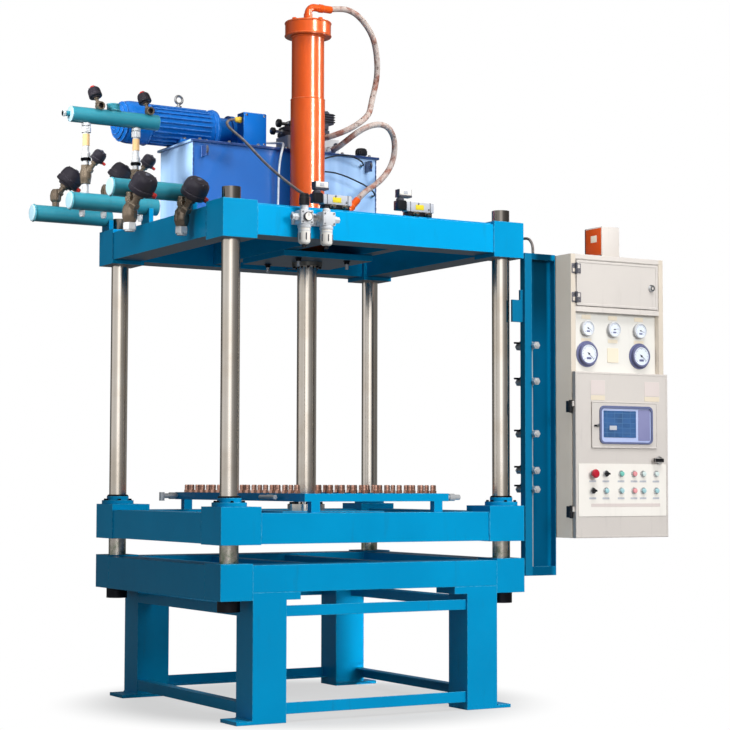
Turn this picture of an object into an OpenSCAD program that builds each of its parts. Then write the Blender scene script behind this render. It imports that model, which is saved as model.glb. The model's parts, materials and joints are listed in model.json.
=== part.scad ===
// Four-column shape moulding machine for expanded polystyrene.
// Origin on the floor in the middle of the four feet, +X right, +Y back, +Z up, millimetres.

/* [Frame] */
// Overall width of the three frames
frame_w = 1420; // [1200:10:1700]
// Overall depth of the three frames
frame_d = 1230; // [1050:10:1500]
// Diameter of the guide columns
col_d = 75; // [60:1:85]
// Height of the column ends above the top frame
col_end = 54; // [20:1:90]
// Diameter of the nuts under the bed
nut_d = 90; // [86:1:110]
// Height of the nuts under the bed
nut_h = 45; // [30:1:55]

/* [Base] */
// Height of the bed frame above the floor
bed_z = 475; // [420:5:600]
// Width of a leg
leg_w = 148; // [110:1:160]
// Depth of a leg
leg_d = 140; // [110:1:140]
// Thickness of a foot plate
foot_t = 14; // [10:1:20]
// Reach of a foot plate beyond the leg
foot_out = 68; // [50:1:90]
// Diameter of an anchor hole
anchor_d = 18; // [12:1:24]
// Thickness of a leg head plate
head_plate_t = 30; // [20:1:36]
// Leg length of the angle iron rails
rail_leg = 44; // [35:1:55]
// Thickness of the angle iron
rail_t = 5; // [4:1:8]

/* [Bed] */
// Height of the bed corner blocks
bed_h = 142; // [125:1:170]
// Width of the bed corner blocks and side beams
bed_block = 140; // [140:1:150]
// Drop of the beams below the corner blocks
bed_drop = 6; // [2:1:10]

/* [Platen] */
// Gap between bed and platen in the photographed position
platen_gap = 72; // [60:1:90]
// Height of the platen corner blocks
platen_h = 148; // [130:1:170]
// Width of the platen corner blocks
platen_block = 175; // [160:1:190]
// Drop of the platen beams below the corner blocks
platen_drop = 25; // [15:1:35]
// Diameter of the bushing flange
bush_flange_d = 138; // [130:1:140]
// Diameter of the bushing sleeve
bush_d = 95; // [92:1:105]

/* [Top frame] */
// Clear height between platen and top frame
daylight = 1046; // [900:1:1200]
// Height of the top frame corner blocks
top_h = 151; // [140:1:170]
// Width of the top frame corner blocks
top_block = 150; // [140:1:165]
// Step of the top beams inside the corner blocks, above and below
top_step = 16; // [8:1:20]
// Thickness of the deck plate
deck_t = 8; // [6:1:12]

/* [Cylinder] */
// Outside diameter of the upper tube
tube_d = 142; // [136:1:150]
// Outside diameter of the lower tube
sleeve_d = 150; // [146:1:156]
// Bore of the cylinder
bore_d = 110; // [104:1:114]
// Diameter of the piston rod
rod_d = 85; // [70:1:88]
// Height of the upper tube end above the deck
tube_top = 844; // [800:1:900]
// Diameter of the cap flange
cap_d = 200; // [180:1:210]
// Height of the cap flange
cap_h = 65; // [55:1:75]

/* [Power unit] */
// Width of the oil tank
tank_w = 905; // [850:5:950]
// Depth of the oil tank
tank_d = 330; // [300:5:340]
// Height of the oil tank
tank_h = 354; // [320:1:380]
// Thickness of the tank lid
lid_t = 10; // [6:1:14]
// Diameter of the motor body
motor_d = 176; // [160:1:184]
// Length of the finned motor body
motor_l = 300; // [270:1:320]

/* [Pipework] */
// Diameter of the three supply pipes
pipe_d = 72; // [60:1:76]
// Length of the supply pipes
pipe_l = 390; // [360:1:420]
// Distance between the supply pipes
pipe_pitch = 425; // [400:1:430]
// Diameter of the upper pipe
upper_d = 66; // [56:1:70]
// Height of the upper pipe above the supply pipes
upper_rise = 360; // [340:1:380]
// Diameter of the large actuators
act_d = 106; // [84:1:110]

/* [Manifold] */
// Width of the filling manifold
mani_w = 676; // [620:2:700]
// Section of the manifold tubes
mani_t = 32; // [26:1:36]
// Distance between nipples
nip_pitch = 54; // [50:1:60]

/* [Trunk] */
// Width of the pipe trunk
trunk_w = 159; // [145:1:175]
// Depth of the pipe trunk
trunk_d = 34; // [30:1:60]
// Width of the front lip of the trunk
trunk_lip = 36; // [20:1:40]
// Sheet thickness of the trunk
trunk_t = 4; // [3:1:6]

/* [Cabinet] */
// Width of the control cabinet
cab_w = 498; // [480:1:520]
// Depth of the control cabinet
cab_d = 300; // [260:1:340]
// Height of the control cabinet
cab_h = 1204; // [1180:1:1230]
// Thickness of the cabinet side posts
cab_wall = 24; // [20:1:28]
// Thickness of the door leaves
door_t = 20; // [16:1:22]
// Clearance around the doors
door_gap = 5; // [5:0.5:8]

/* [Hidden] */
fine = 64;
hx = frame_w / 2;
hy = frame_d / 2;
col_r = col_d / 2;
fit = 0.15;
run = 0.3;

bed_top = bed_z + bed_h;
platen_z = bed_top + platen_gap;
platen_top = platen_z + platen_h;
top_z = platen_top + daylight;
top_top = top_z + top_h;
beam_lo = top_z + top_step;
beam_hi = top_top - top_step;
deck_z = beam_hi;
deck_hi = deck_z + deck_t;
col_x = hx - bed_block / 2;
col_y = hy - bed_block / 2;

leg_x1 = hx - bed_block;
leg_x0 = leg_x1 - leg_w;
leg_y1 = hy;
leg_y0 = hy - leg_d;
pad_x0 = leg_x0 - 62;
anchor_x = leg_x1 + foot_out / 2;
anchor_y = (leg_y0 + leg_y1) / 2;
rail_z = 32;
upper_rail_z = bed_z - 65;
tube_rail_w = 68;
tube_rail_h = 42;

cross_w = 60;
cross_x = 185;
bed_beam_hi = bed_top - bed_drop;
platen_beam_hi = platen_top - platen_drop;
platen_beam_w = 132;
plate_half = 245;
top_beam_w = 130;

mount_t = 25;
mount_z = beam_lo + 8;
mount_lo = mount_z - mount_t;
gland_flange = 18;
gland_lo = mount_lo - gland_flange;
gland_hi = mount_z + 30;
tube_hi = deck_hi + tube_top;
sleeve_hi = tube_hi - 277;
cap_hi = tube_hi + cap_h;
piston_hi = deck_hi + 180;
port_z = deck_hi + 40;
piston_h = 60;
rod_flange_h = 28;

tank_x0 = -505;
lid_out = 12;
tank_gap = 5;
tank_y0 = max(sleeve_d / 2 + lid_out + tank_gap, hy - 523);
tank_x1 = tank_x0 + tank_w;
tank_y1 = tank_y0 + tank_d;
tank_hi = deck_hi + tank_h;
lid_hi = tank_hi + lid_t;
motor_r = motor_d / 2;
motor_x0 = -620;
motor_x1 = motor_x0 + motor_l;
motor_y = tank_y0 + 240;
motor_z = lid_hi + motor_r + 4;
cowl_l = 146;
bell_l = 70;
box_x = [-245, -139];
box_y = [tank_y0 + 38, tank_y0 + 100];
box_z = [lid_hi, lid_hi + 150];
block_x = [-8, 252];
block_y = [tank_y0 + 75, tank_y0 + 185];
block_z = [lid_hi, lid_hi + 78];
valve_hi = block_z[1] + 72;

pipe_r = pipe_d / 2;
pipe_x1 = -hx + 55;
pipe_x0 = pipe_x1 - pipe_l;
pipe_back = hy - 60;
pipe_y = [pipe_back - 2 * pipe_pitch, pipe_back - pipe_pitch, pipe_back];
valve_y = pipe_y[0] - 34;
spare_x = [pipe_x0 + 55, pipe_x0 + 150, -hx - 20];
pipe_z = top_top + 56;
upper_z = pipe_z + upper_rise;
upper_r = upper_d / 2;
drop_x = [-hx - 266, -hx - 42];
pipe_end = [55, 55, 24];
riser_r = 13;
act_r = act_d / 2;

frl_x = -hx + 338;

mani_x = mani_w / 2;
mani_y = hy - 12;
mani_z = platen_top + 19;
mani_hi = mani_z + mani_t;
nip_h = 34;

trunk_gap = 6;
trunk_x0 = hx + trunk_gap;
trunk_x1 = trunk_x0 + trunk_w;
trunk_y0 = -hy;
trunk_y1 = trunk_y0 + trunk_d;
trunk_z0 = bed_z + 67;
trunk_z1 = beam_lo + 9;
tap_x = trunk_x0 + trunk_lip + 12;
tap_y = trunk_y0 + 16;
tap_z = [trunk_z0 + 363, trunk_z0 + 443, trunk_z0 + 598, trunk_z0 + 820, trunk_z0 + 973];
tap_r = 9;
cab_x0 = trunk_x1 + 4;
cab_x1 = cab_x0 + cab_w;
cab_y0 = trunk_y0 - 107;
cab_y1 = cab_y0 + cab_d;
cab_z1 = trunk_z1 - 3;
cab_z0 = cab_z1 - cab_h;
bay_x0 = cab_x0 + cab_wall;
bay_x1 = cab_x1 - cab_wall;
shelf_t = 20;
shelf_a = cab_z1 - 245;
shelf_b = cab_z1 - 520;
panel_y = cab_y0 + 26;
upper_axis_x = bay_x0;
upper_axis_y = cab_y0 - 6;
leaf_y1 = cab_y0 - door_gap;
leaf_y0 = leaf_y1 - door_t;
lower_axis_x = cab_x0 - 7;
lower_axis_y = leaf_y1 + 1;
leaf_x0 = lower_axis_x + 9;

hose_r = 13;
// The rod side port leaves the tube level, turns up and ends in a straight neck
port_x = 132;
port_r = 17;
port_rise = 48;
port_bend = 45;
port_neck = 80;
port_dir = [cos(port_rise), 0, sin(port_rise)];
neck_foot = [port_x + port_bend * sin(port_rise), 0, port_z + port_bend * (1 - cos(port_rise))];
port_tip = neck_foot + port_neck * port_dir;
// Route of the hose from the cap to the front of the valve block
top_route = [[64, 0, cap_hi + 72], [105, 0, cap_hi + 72], [183, 2, cap_hi + 88], [260, 14, cap_hi + 72],
    [335, 28, cap_hi + 8], [372, 46, cap_hi - 58], [396, 69, cap_hi - 151], [394, 88, cap_hi - 228],
    [365, 75, cap_hi - 305], [327, 24, lid_hi + 183], [262, -15, lid_hi + 133], [206, -9, lid_hi + 96],
    [159, 30, lid_hi + 72], [133, 87, lid_hi + 64], [130, 147, lid_hi + 64], [130, block_y[0],
    lid_hi + 64]];
// Route of the hose from the front of the valve block to the rod side port
low_route = [[196, block_y[0], lid_hi + 22], [196, 106, lid_hi + 22], [205, 44, lid_hi + 41],
    [237, -3, lid_hi + 78], [292, -23, lid_hi + 115], [370, -12, lid_hi + 134], [430, 12, lid_hi + 117],
    [468, 38, lid_hi + 70], [475, 57, lid_hi + 4], [448, 57, lid_hi - 58], [381, 28, lid_hi - 118],
    [331, 8, port_z + 175], [300, 1, port_z + 156], [271, 0, port_z + 131], port_tip + 30 * port_dir,
    port_tip];
// Route of the cable from the junction box to the left solenoid valve
cable_route = [[box_x[0], tank_y0 + 68, lid_hi + 118], [-285, tank_y0 + 68, lid_hi + 118],
    [-319, tank_y0 + 50, lid_hi + 104], [-340, tank_y0 + 4, lid_hi + 69], [-309, 12, lid_hi + 6],
    [-303, -90, lid_hi - 66], [-302, -200, lid_hi - 136], [-298, -320, lid_hi - 205],
    [-289, -427, lid_hi - 265],
    [-273, -478, lid_hi - 296], [-264, -508, lid_hi - 304], [-264, -537, lid_hi - 304]];
// Route of the conduit from the side of the top frame into the trunk
conduit_x = trunk_x0 + 54;
conduit_r = 6;
conduit_route = [[hx - 3, -420, beam_lo + 77], [hx + 20, -420, beam_lo + 77], [hx + 40, -426, beam_lo + 77],
    [hx + 55, -438, beam_lo + 78], [conduit_x + 6, -457, beam_lo + 80],
    [conduit_x + 11, -481, beam_lo + 82],
    [conduit_x + 10, -514, beam_lo + 84], [conduit_x + 7, -544, beam_lo + 82],
    [conduit_x + 4, -567, beam_lo + 75],
    [conduit_x + 2, -583, beam_lo + 63], [conduit_x + 1, -594, beam_lo + 48],
    [conduit_x, tap_y, beam_lo + 30],
    [conduit_x, tap_y, trunk_z1]];
// Routes of the thin tubes in front of the tank: the pale drain tube and two black air tubes
tube_x = box_x[1];
drain_r = 5;
drain_route = [[tube_x, tank_y0 + 68, lid_hi + 30], [tube_x + 26, tank_y0 + 68, lid_hi + 30],
    [tube_x + 52, tank_y0 + 55, lid_hi + 30], [tube_x + 67, tank_y0 + 31, lid_hi + 28],
    [tube_x + 66, tank_y0 - 7, lid_hi + 21], [tube_x + 47, tank_y0 - 35, lid_hi - 5],
    [tube_x + 29, tank_y0 - 42, lid_hi - 60], [tube_x + 26, tank_y0 - 36, lid_hi - 142],
    [tube_x + 26, tank_y0 - 34, lid_hi - 239], [tube_x + 24, tank_y0 - 32, deck_hi + 43],
    [tube_x + 24, tank_y0 - 32, deck_hi]];
air_r = 3.5;
upper_air_route = [[108, tank_y0, lid_hi - 36], [108, tank_y0 - 27, lid_hi - 36],
    [119, tank_y0 - 47, lid_hi - 33],
    [143, tank_y0 - 58, lid_hi - 25], [184, tank_y0 - 61, lid_hi - 16], [225, tank_y0 - 61, lid_hi - 15],
    [269, tank_y0 - 62, lid_hi - 24], [303, tank_y0 - 52, lid_hi - 38], [318, tank_y0 - 30, lid_hi - 46],
    [318, tank_y0, lid_hi - 46]];
lower_air_route = [[108, tank_y0, lid_hi - 92], [108, tank_y0 - 28, lid_hi - 92],
    [121, tank_y0 - 48, lid_hi - 94],
    [150, tank_y0 - 59, lid_hi - 96], [200, tank_y0 - 61, lid_hi - 105], [260, tank_y0 - 59, lid_hi - 122],
    [325, tank_y0 - 62, lid_hi - 147], [361, tank_y0 - 54, lid_hi - 168], [376, tank_y0 - 31, lid_hi - 178],
    [376, tank_y0, lid_hi - 178]];

blue = [0.0, 0.55, 0.75];
cobalt = [0.08, 0.33, 0.68];
teal = [0.1, 0.48, 0.4];
grey = [0.62, 0.63, 0.65];
dark = [0.12, 0.12, 0.13];
cream = [0.88, 0.86, 0.83];

// A span from a to b on the chosen side of zero
function side(s, a, b) = s > 0 ? [a, b] : [-b, -a];
function unit(v) = v / norm(v);

module slab(x, y, z) {
    translate([x[0], y[0], z[0]])
        cube([x[1] - x[0], y[1] - y[0], z[1] - z[0]]);
}

module post(x, y, z, r) {
    translate([x, y, z[0]])
        cylinder(h = z[1] - z[0], r = r, $fn = fine);
}

module bar_x(x, y, z, r) {
    translate([x[0], y, z])
        rotate([0, 90, 0])
            cylinder(h = x[1] - x[0], r = r, $fn = fine);
}

module bar_y(x, y, z, r) {
    translate([x, y[0], z])
        rotate([-90, 0, 0])
            cylinder(h = y[1] - y[0], r = r, $fn = fine);
}

// A round hose swept along its route
module hose(route, r, n = 10) {
    last = len(route) - 1;
    function tangent(i) = unit(i == 0 ? route[1] - route[0]
        : i == last ? route[last] - route[last - 1]
        : unit(route[i] - route[i - 1]) + unit(route[i + 1] - route[i]));
    function across(t) = unit(cross(t, abs(t[1]) < 0.85 ? [0, 1, 0] : [1, 0, 0]));
    points = [for (i = [0 : last]) let (t = tangent(i), u = across(t), w = cross(t, u))
        for (k = [0 : n - 1]) route[i] + r * (cos(360 * k / n) * u + sin(360 * k / n) * w)];
    sides = [for (i = [0 : last - 1]) for (k = [0 : n - 1])
        [i * n + k, i * n + (k + 1) % n, (i + 1) * n + (k + 1) % n, (i + 1) * n + k]];
    first = [for (k = [n - 1 : -1 : 0]) k];
    final = [for (k = [0 : n - 1]) last * n + k];
    polyhedron(points = points, faces = concat([first], sides, [final]), convexity = 8);
}

// One leg with its foot plate outward and its head plate inward
module leg(sx, sy) {
    difference() {
        union() {
            slab(side(sx, leg_x0, leg_x1), side(sy, leg_y0, leg_y1), [foot_t, bed_z]);
            slab(side(sx, leg_x0, leg_x1 + foot_out), side(sy, leg_y0, leg_y1), [0, foot_t]);
            slab(side(sx, pad_x0, leg_x1), side(sy, leg_y0, leg_y1), [bed_z, bed_z + head_plate_t]);
        }
        post(sx * anchor_x, sy * anchor_y, [-1, foot_t + 1], anchor_d / 2);
    }
}

module front_legs() {
    color(blue)
        for (sx = [-1, 1])
            leg(sx, -1);
}

module back_legs() {
    color(blue)
        for (sx = [-1, 1])
            leg(sx, 1);
}

// Angle iron between the legs close to the floor
module floor_rails() {
    color(blue) {
        for (sy = [-1, 1]) {
            slab([-leg_x0, leg_x0], side(sy, hy - 12 - rail_t, hy - 12), [rail_z, rail_z + rail_leg]);
            slab([-leg_x0, leg_x0], side(sy, hy - 12 - rail_leg, hy - 12), [rail_z, rail_z + rail_t]);
        }
        for (sx = [-1, 1]) {
            slab(side(sx, leg_x1 - rail_t - 2, leg_x1 - 2), [-leg_y0, leg_y0], [rail_z, rail_z + rail_leg]);
            slab(side(sx, leg_x1 - rail_leg, leg_x1 - 2), [-leg_y0, leg_y0],
                [rail_z + rail_leg - rail_t, rail_z + rail_leg]);
        }
    }
}

// Flat rails under the bed at front and back, box tubes between the legs at the sides
module upper_rails() {
    color(blue) {
        for (sy = [-1, 1])
            slab([-leg_x0, leg_x0], side(sy, hy - 20, hy - 10),
                [upper_rail_z, upper_rail_z + rail_leg - 2]);
        for (sx = [-1, 1])
            difference() {
                slab(side(sx, leg_x1 - tube_rail_w, leg_x1), [-leg_y0, leg_y0],
                    [upper_rail_z, upper_rail_z + tube_rail_h]);
                slab(side(sx, leg_x1 - tube_rail_w + rail_t, leg_x1 - rail_t), [-leg_y0 - 1, leg_y0 + 1],
                    [upper_rail_z + rail_t, upper_rail_z + tube_rail_h - rail_t]);
            }
    }
}

// A square block with a hole for its column
module corner_block(sx, sy, size, z, hole_r) {
    difference() {
        slab(side(sx, hx - size, hx), side(sy, hy - size, hy), z);
        post(sx * col_x, sy * col_y, [z[0] - 1, z[1] + 1], hole_r);
    }
}

module bed_corner_blocks() {
    color(blue)
        for (sx = [-1, 1], sy = [-1, 1])
            corner_block(sx, sy, bed_block, [bed_z, bed_top], col_r + fit);
}

module bed_long_beams() {
    color(blue)
        for (sy = [-1, 1])
            slab([-leg_x1, leg_x1], side(sy, hy - bed_block, hy), [bed_z + head_plate_t, bed_beam_hi]);
}

// Side beams and the two inner beams of the bed
module bed_cross_beams() {
    color(blue)
        for (sx = [-1, 1]) {
            slab(side(sx, hx - bed_block, hx), [bed_block - hy, hy - bed_block], [bed_z, bed_beam_hi]);
            slab(side(sx, cross_x - cross_w / 2, cross_x + cross_w / 2), [bed_block - hy, hy - bed_block],
                [bed_z + head_plate_t + 8, bed_beam_hi - 8]);
        }
}

module guide_columns() {
    color(grey)
        for (sx = [-1, 1], sy = [-1, 1])
            post(sx * col_x, sy * col_y, [bed_z - nut_h, top_top + col_end], col_r);
}

// Round nuts that clamp the columns to the bed from below
module column_nuts() {
    color(dark)
        for (sx = [-1, 1], sy = [-1, 1])
            difference() {
                post(sx * col_x, sy * col_y, [bed_z - nut_h, bed_z], nut_d / 2);
                post(sx * col_x, sy * col_y, [bed_z - nut_h - 1, bed_z + 1], col_r + fit);
            }
}

module top_corner_blocks() {
    color(blue)
        for (sx = [-1, 1], sy = [-1, 1])
            corner_block(sx, sy, top_block, [top_z, top_top], col_r + fit);
}

module top_long_beams() {
    color(blue)
        for (sy = [-1, 1])
            slab([top_block - hx, hx - top_block], side(sy, hy - 3 - top_beam_w, hy - 3),
                [beam_lo, beam_hi]);
}

// Side beams and the two beams that carry the cylinder
module top_cross_beams() {
    color(blue)
        for (sx = [-1, 1]) {
            slab(side(sx, hx - 3 - top_beam_w, hx - 3), [top_block - hy, hy - top_block],
                [beam_lo, beam_hi]);
            slab(side(sx, cross_x - cross_w / 2, cross_x + cross_w / 2),
                [top_beam_w + 3 - hy, hy - top_beam_w - 3], [mount_z, beam_hi]);
        }
}

module top_deck() {
    color(blue)
        difference() {
            slab([top_block - hx, hx - top_block], [20 - hy, hy - 20], [deck_z, deck_hi]);
            post(0, 0, [deck_z - 1, deck_hi + 1], sleeve_d / 2 + run);
        }
}

module cylinder_mount_plate() {
    color(blue)
        difference() {
            slab([-cross_x - cross_w / 2, cross_x + cross_w / 2], [-190, 190], [mount_lo, mount_z]);
            post(0, 0, [mount_lo - 1, mount_z + 1], rod_d / 2 + 8);
        }
}

// Tube with its rod side port at the foot
module cylinder_barrel() {
    color([0.88, 0.34, 0.11])
        difference() {
            union() {
                post(0, 0, [mount_z, sleeve_hi], sleeve_d / 2);
                post(0, 0, [sleeve_hi, tube_hi], tube_d / 2);
                bar_x([0, port_x], 0, port_z, port_r);
                translate([port_x, 0, port_z + port_bend])
                    rotate([90, 0, 0])
                        rotate([0, 0, -90])
                            rotate_extrude(angle = port_rise, $fn = fine)
                                translate([port_bend, 0])
                                    circle(r = port_r, $fn = fine);
                translate(neck_foot)
                    rotate([0, 90 - port_rise, 0])
                        cylinder(h = port_neck, r = port_r, $fn = fine);
            }
            post(0, 0, [mount_z - 1, tube_hi + 1], bore_d / 2);
            bar_x([0, port_x], 0, port_z, port_r / 2);
        }
}

// Cap flange with the welded elbow on top
module cylinder_cap() {
    color([0.88, 0.34, 0.11])
        union() {
            post(0, 0, [tube_hi, cap_hi], cap_d / 2);
            post(0, 0, [cap_hi, cap_hi + 40], 19);
            translate([32, 0, cap_hi + 40])
                rotate([90, 0, 0])
                    rotate([0, 0, 90])
                        rotate_extrude(angle = 90, $fn = fine)
                            translate([32, 0])
                                circle(r = 16, $fn = fine);
            bar_x([32, 64], 0, cap_hi + 72, 16);
        }
}

module cylinder_gland() {
    color(grey)
        difference() {
            union() {
                post(0, 0, [gland_lo, mount_lo], 66);
                post(0, 0, [mount_lo, gland_hi], rod_d / 2 + 8 - run);
            }
            post(0, 0, [gland_lo - 1, gland_hi + 1], rod_d / 2 + run);
        }
}

// Tank body, overhanging lid and two lifting lugs
module oil_tank() {
    color(cobalt)
        union() {
            slab([tank_x0, tank_x1], [tank_y0, tank_y1], [deck_hi, tank_hi]);
            slab([tank_x0 - lid_out, tank_x1 + lid_out], [tank_y0 - lid_out, tank_y1 + lid_out],
                [tank_hi, lid_hi]);
            for (x = [tank_x0 + 40, tank_x1 - 56])
                slab([x, x + 12], [tank_y0 - 44, tank_y0], [tank_hi - 62, tank_hi - 14]);
        }
}

// Finned motor body with its two feet
module pump_motor() {
    color(cobalt)
        union() {
            bar_x([motor_x0, motor_x1], motor_y, motor_z, motor_r - 7);
            for (k = [0 : 23])
                if (k < 16 || k > 20)
                    translate([motor_x0 + 10, motor_y, motor_z])
                        rotate([15 * k, 0, 0])
                            translate([0, -2.5, motor_r - 12])
                                cube([motor_l - 30, 5, 12]);
            bar_x([motor_x1, motor_x1 + 22], motor_y, motor_z, motor_r + 2);
            for (x = [tank_x0 + 20, motor_x1 - 62])
                slab([x, x + 46], [motor_y - 74, motor_y + 74], [lid_hi, motor_z - motor_r + 26]);
        }
}

// Outline of the fan cowl as shares of its radius and length, from the open end to the rounded one
cowl_outline = [[0, 0], [1, 0], [1, 0.55], [0.98, 0.66], [0.91, 0.8], [0.74, 0.91], [0.46, 0.98], [0, 1]];

module motor_cowl() {
    color(cobalt)
        translate([motor_x0, motor_y, motor_z])
            rotate([0, -90, 0])
                rotate_extrude($fn = fine)
                    polygon([for (p = cowl_outline) [p[0] * (motor_r + 4), p[1] * cowl_l]]);
}

// Bell housing between motor and pump, standing on the lid
module pump_housing() {
    x = motor_x1 + 22;
    color(cobalt)
        union() {
            bar_x([x, x + bell_l], motor_y, motor_z, 62);
            bar_x([x + bell_l, x + bell_l + 24], motor_y, motor_z, 74);
            bar_x([x + bell_l + 24, x + bell_l + 120], motor_y, motor_z, 46);
            slab([x + bell_l, x + bell_l + 24], [motor_y - 60, motor_y + 60], [lid_hi, motor_z]);
        }
}

module junction_box() {
    color(cobalt)
        slab(box_x, box_y, box_z);
}

module valve_block() {
    color([0.9, 0.9, 0.88])
        slab(block_x, block_y, block_z);
}

// Two stacked directional valves with coil and knobs
module hydraulic_valves() {
    y = [block_y[0] + 20, block_y[1] - 20];
    color(dark)
        union() {
            slab([block_x[0] - 6, block_x[1] - 30], y, [block_z[1], block_z[1] + 44]);
            slab([block_x[0] + 30, block_x[1] - 40], y, [block_z[1] + 44, valve_hi]);
            slab([block_x[1] - 62, block_x[1] - 10], y, [valve_hi, valve_hi + 62]);
            bar_x([block_x[0] - 40, block_x[0] + 30], y[0] + 30, valve_hi - 14, 13);
            bar_x([block_x[0] - 58, block_x[0] - 40], y[0] + 30, valve_hi - 14, 19);
            bar_x([block_x[0] - 44, block_x[0] - 6], y[0] + 30, block_z[1] + 20, 11);
            bar_x([block_x[0] - 58, block_x[0] - 44], y[0] + 30, block_z[1] + 20, 17);
        }
}

module tank_breather() {
    color(dark)
        union() {
            post(tank_x1 - 40, tank_y0 + 60, [lid_hi, lid_hi + 16], 18);
            post(tank_x1 - 40, tank_y0 + 60, [lid_hi + 16, lid_hi + 48], 26);
        }
}

module top_hose() {
    color([0.55, 0.4, 0.36])
        hose(top_route, hose_r);
}

module low_hose() {
    color([0.55, 0.4, 0.36])
        hose(low_route, hose_r);
}

module junction_cable() {
    color(grey)
        hose(cable_route, 6, 8);
}

// Pale drain tube over the lid edge and two thin air tubes on the front of the tank
module thin_tubes() {
    color([0.85, 0.86, 0.86])
        hose(drain_route, drain_r, 8);
    color(dark) {
        hose(upper_air_route, air_r, 8);
        hose(lower_air_route, air_r, 8);
    }
}

module supply_pipes() {
    color(teal)
        for (k = [0 : 2])
            bar_x([pipe_x0, pipe_end[k] - hx], pipe_y[k], pipe_z, pipe_r);
}

// Upper pipe with its thin inlet and its filling stub
module upper_pipe() {
    color(teal)
        union() {
            bar_x([pipe_x0, pipe_x1], pipe_y[1], upper_z, upper_r);
            bar_x([pipe_x0 - 36, pipe_x0], pipe_y[1], upper_z, 11);
            post(-hx - 146, pipe_y[1], [upper_z, upper_z + upper_r + 26], 27);
        }
}

// Two risers between the middle pipe and the upper pipe
module riser_pipes() {
    color(grey)
        for (x = drop_x)
            difference() {
                union() {
                    post(x, pipe_y[1], [pipe_z, upper_z], riser_r);
                    post(x, pipe_y[1], [upper_z - 190, upper_z - 168], riser_r + 6);
                }
                bar_x([x - 60, x + 60], pipe_y[1], pipe_z, pipe_r + fit);
                bar_x([x - 60, x + 60], pipe_y[1], upper_z, upper_r + fit);
                riser_valve_cut(x);
            }
}

module riser_valve_cut(x) {
    post(x, pipe_y[1], [pipe_z + 74, pipe_z + 152], 40);
}

// Cradles that carry the supply pipes on the side beam
module pipe_saddles() {
    color(blue)
        for (y = pipe_y)
            difference() {
                slab([-hx + 3, -hx + 23], [y - 40, y + 40],
                    [abs(y) + 40 > hy - top_block ? top_top : beam_hi, pipe_z - 12]);
                bar_x([-hx, -hx + 60], y, pipe_z, pipe_r + fit);
            }
}

act_tilt = 38;
front_turn = -75;
back_turn = -23;
mid_turn = -52;
dome_h = 84;
big_neck = 94;
back_neck = 62;
mid_neck = 72;
top_neck = 40;

// Turns its children onto the sloping axis of an actuator
module slope(x, y, z, turn) {
    translate([x, y, z])
        rotate([0, 0, turn])
            rotate([0, act_tilt, 0])
                children();
}

big_z = pipe_z - pipe_r - 70;
back_x = [drop_x[0] + 35, drop_x[1] + 47];
back_z = [pipe_z + pipe_r + 40, pipe_z + pipe_r + 80];
mid_z = pipe_z + 107;
port_y = pipe_y[1] - upper_r - 8;

// Seat valve bodies: two under the front pipe, two on the back pipe, two in the risers, two on the
// upper pipe, and three spare nipples under the middle pipe
module valve_bodies() {
    color([0.62, 0.55, 0.42]) {
        for (x = spare_x)
            difference() {
                post(x, pipe_y[1], [pipe_z - pipe_r - 28, pipe_z], 12);
                bar_x([x - 80, x + 80], pipe_y[1], pipe_z, pipe_r + fit);
            }
        for (k = [0 : 1])
            difference() {
                union() {
                    post(back_x[k], pipe_y[2], [pipe_z, back_z[k] + 34], 15);
                    slope(back_x[k], pipe_y[2], back_z[k], back_turn)
                        cylinder(h = back_neck, r = 16, $fn = fine);
                }
                bar_x([back_x[k] - 80, back_x[k] + 80], pipe_y[2], pipe_z, pipe_r + fit);
            }
        for (x = drop_x) {
            difference() {
                union() {
                    post(x, valve_y, [big_z - 42, pipe_z], 15);
                    post(x, valve_y, [big_z - 20, big_z + 42], 29);
                    post(x, valve_y, [big_z - 64, big_z - 34], 24);
                    slope(x, valve_y, big_z, front_turn)
                        cylinder(h = big_neck, r = 19, $fn = fine);
                }
                bar_x([x - 80, x + 80], pipe_y[0], pipe_z, pipe_r + fit);
            }
            union() {
                post(x, pipe_y[1], [pipe_z + 74, pipe_z + 152], 20);
                slope(x, pipe_y[1], mid_z, mid_turn)
                    cylinder(h = mid_neck, r = 12, $fn = fine);
            }
            difference() {
                union() {
                    bar_y(x + 50, [port_y, pipe_y[1] - 6], upper_z + upper_r + 8, 17);
                    translate([x + 50, pipe_y[1] - 14, upper_z + upper_r + 8])
                        rotate([-22, -10, 0])
                            cylinder(h = top_neck, r = 9, $fn = fine);
                }
                bar_x([x, x + 120], pipe_y[1], upper_z, upper_r + fit);
                bar_y(x + 50, [port_y - 1, port_y + 14], upper_z + upper_r + 8, 11);
            }
        }
    }
}

// Domed pneumatic actuators of the seat valves
module valve_actuators() {
    color(dark) {
        for (k = [0 : 1])
            slope(back_x[k], pipe_y[2], back_z[k], back_turn)
                dome(back_neck, act_r, dome_h);
        for (x = drop_x) {
            slope(x, valve_y, big_z, front_turn)
                dome(big_neck, act_r, dome_h);
            slope(x, pipe_y[1], mid_z, mid_turn)
                dome(mid_neck, 29, 52);
            translate([x + 50, pipe_y[1] - 14, upper_z + upper_r + 8])
                rotate([-22, -10, 0])
                    dome(top_neck, 28, 48);
        }
    }
}

// Outline of a domed actuator as shares of its radius and height: base ring, groove, tapered wall, round top
dome_outline = [[0, 0], [0.6, 0], [0.66, 0.08], [0.97, 0.12], [1, 0.16], [1, 0.34], [0.95, 0.37],
    [0.95, 0.42],
    [0.98, 0.45], [0.96, 0.7], [0.88, 0.86], [0.7, 0.96], [0.4, 1], [0, 1]];

module dome(z, r, h) {
    translate([0, 0, z])
        rotate_extrude($fn = fine)
            polygon([for (p = dome_outline) [p[0] * r, p[1] * h]]);
}

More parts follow.
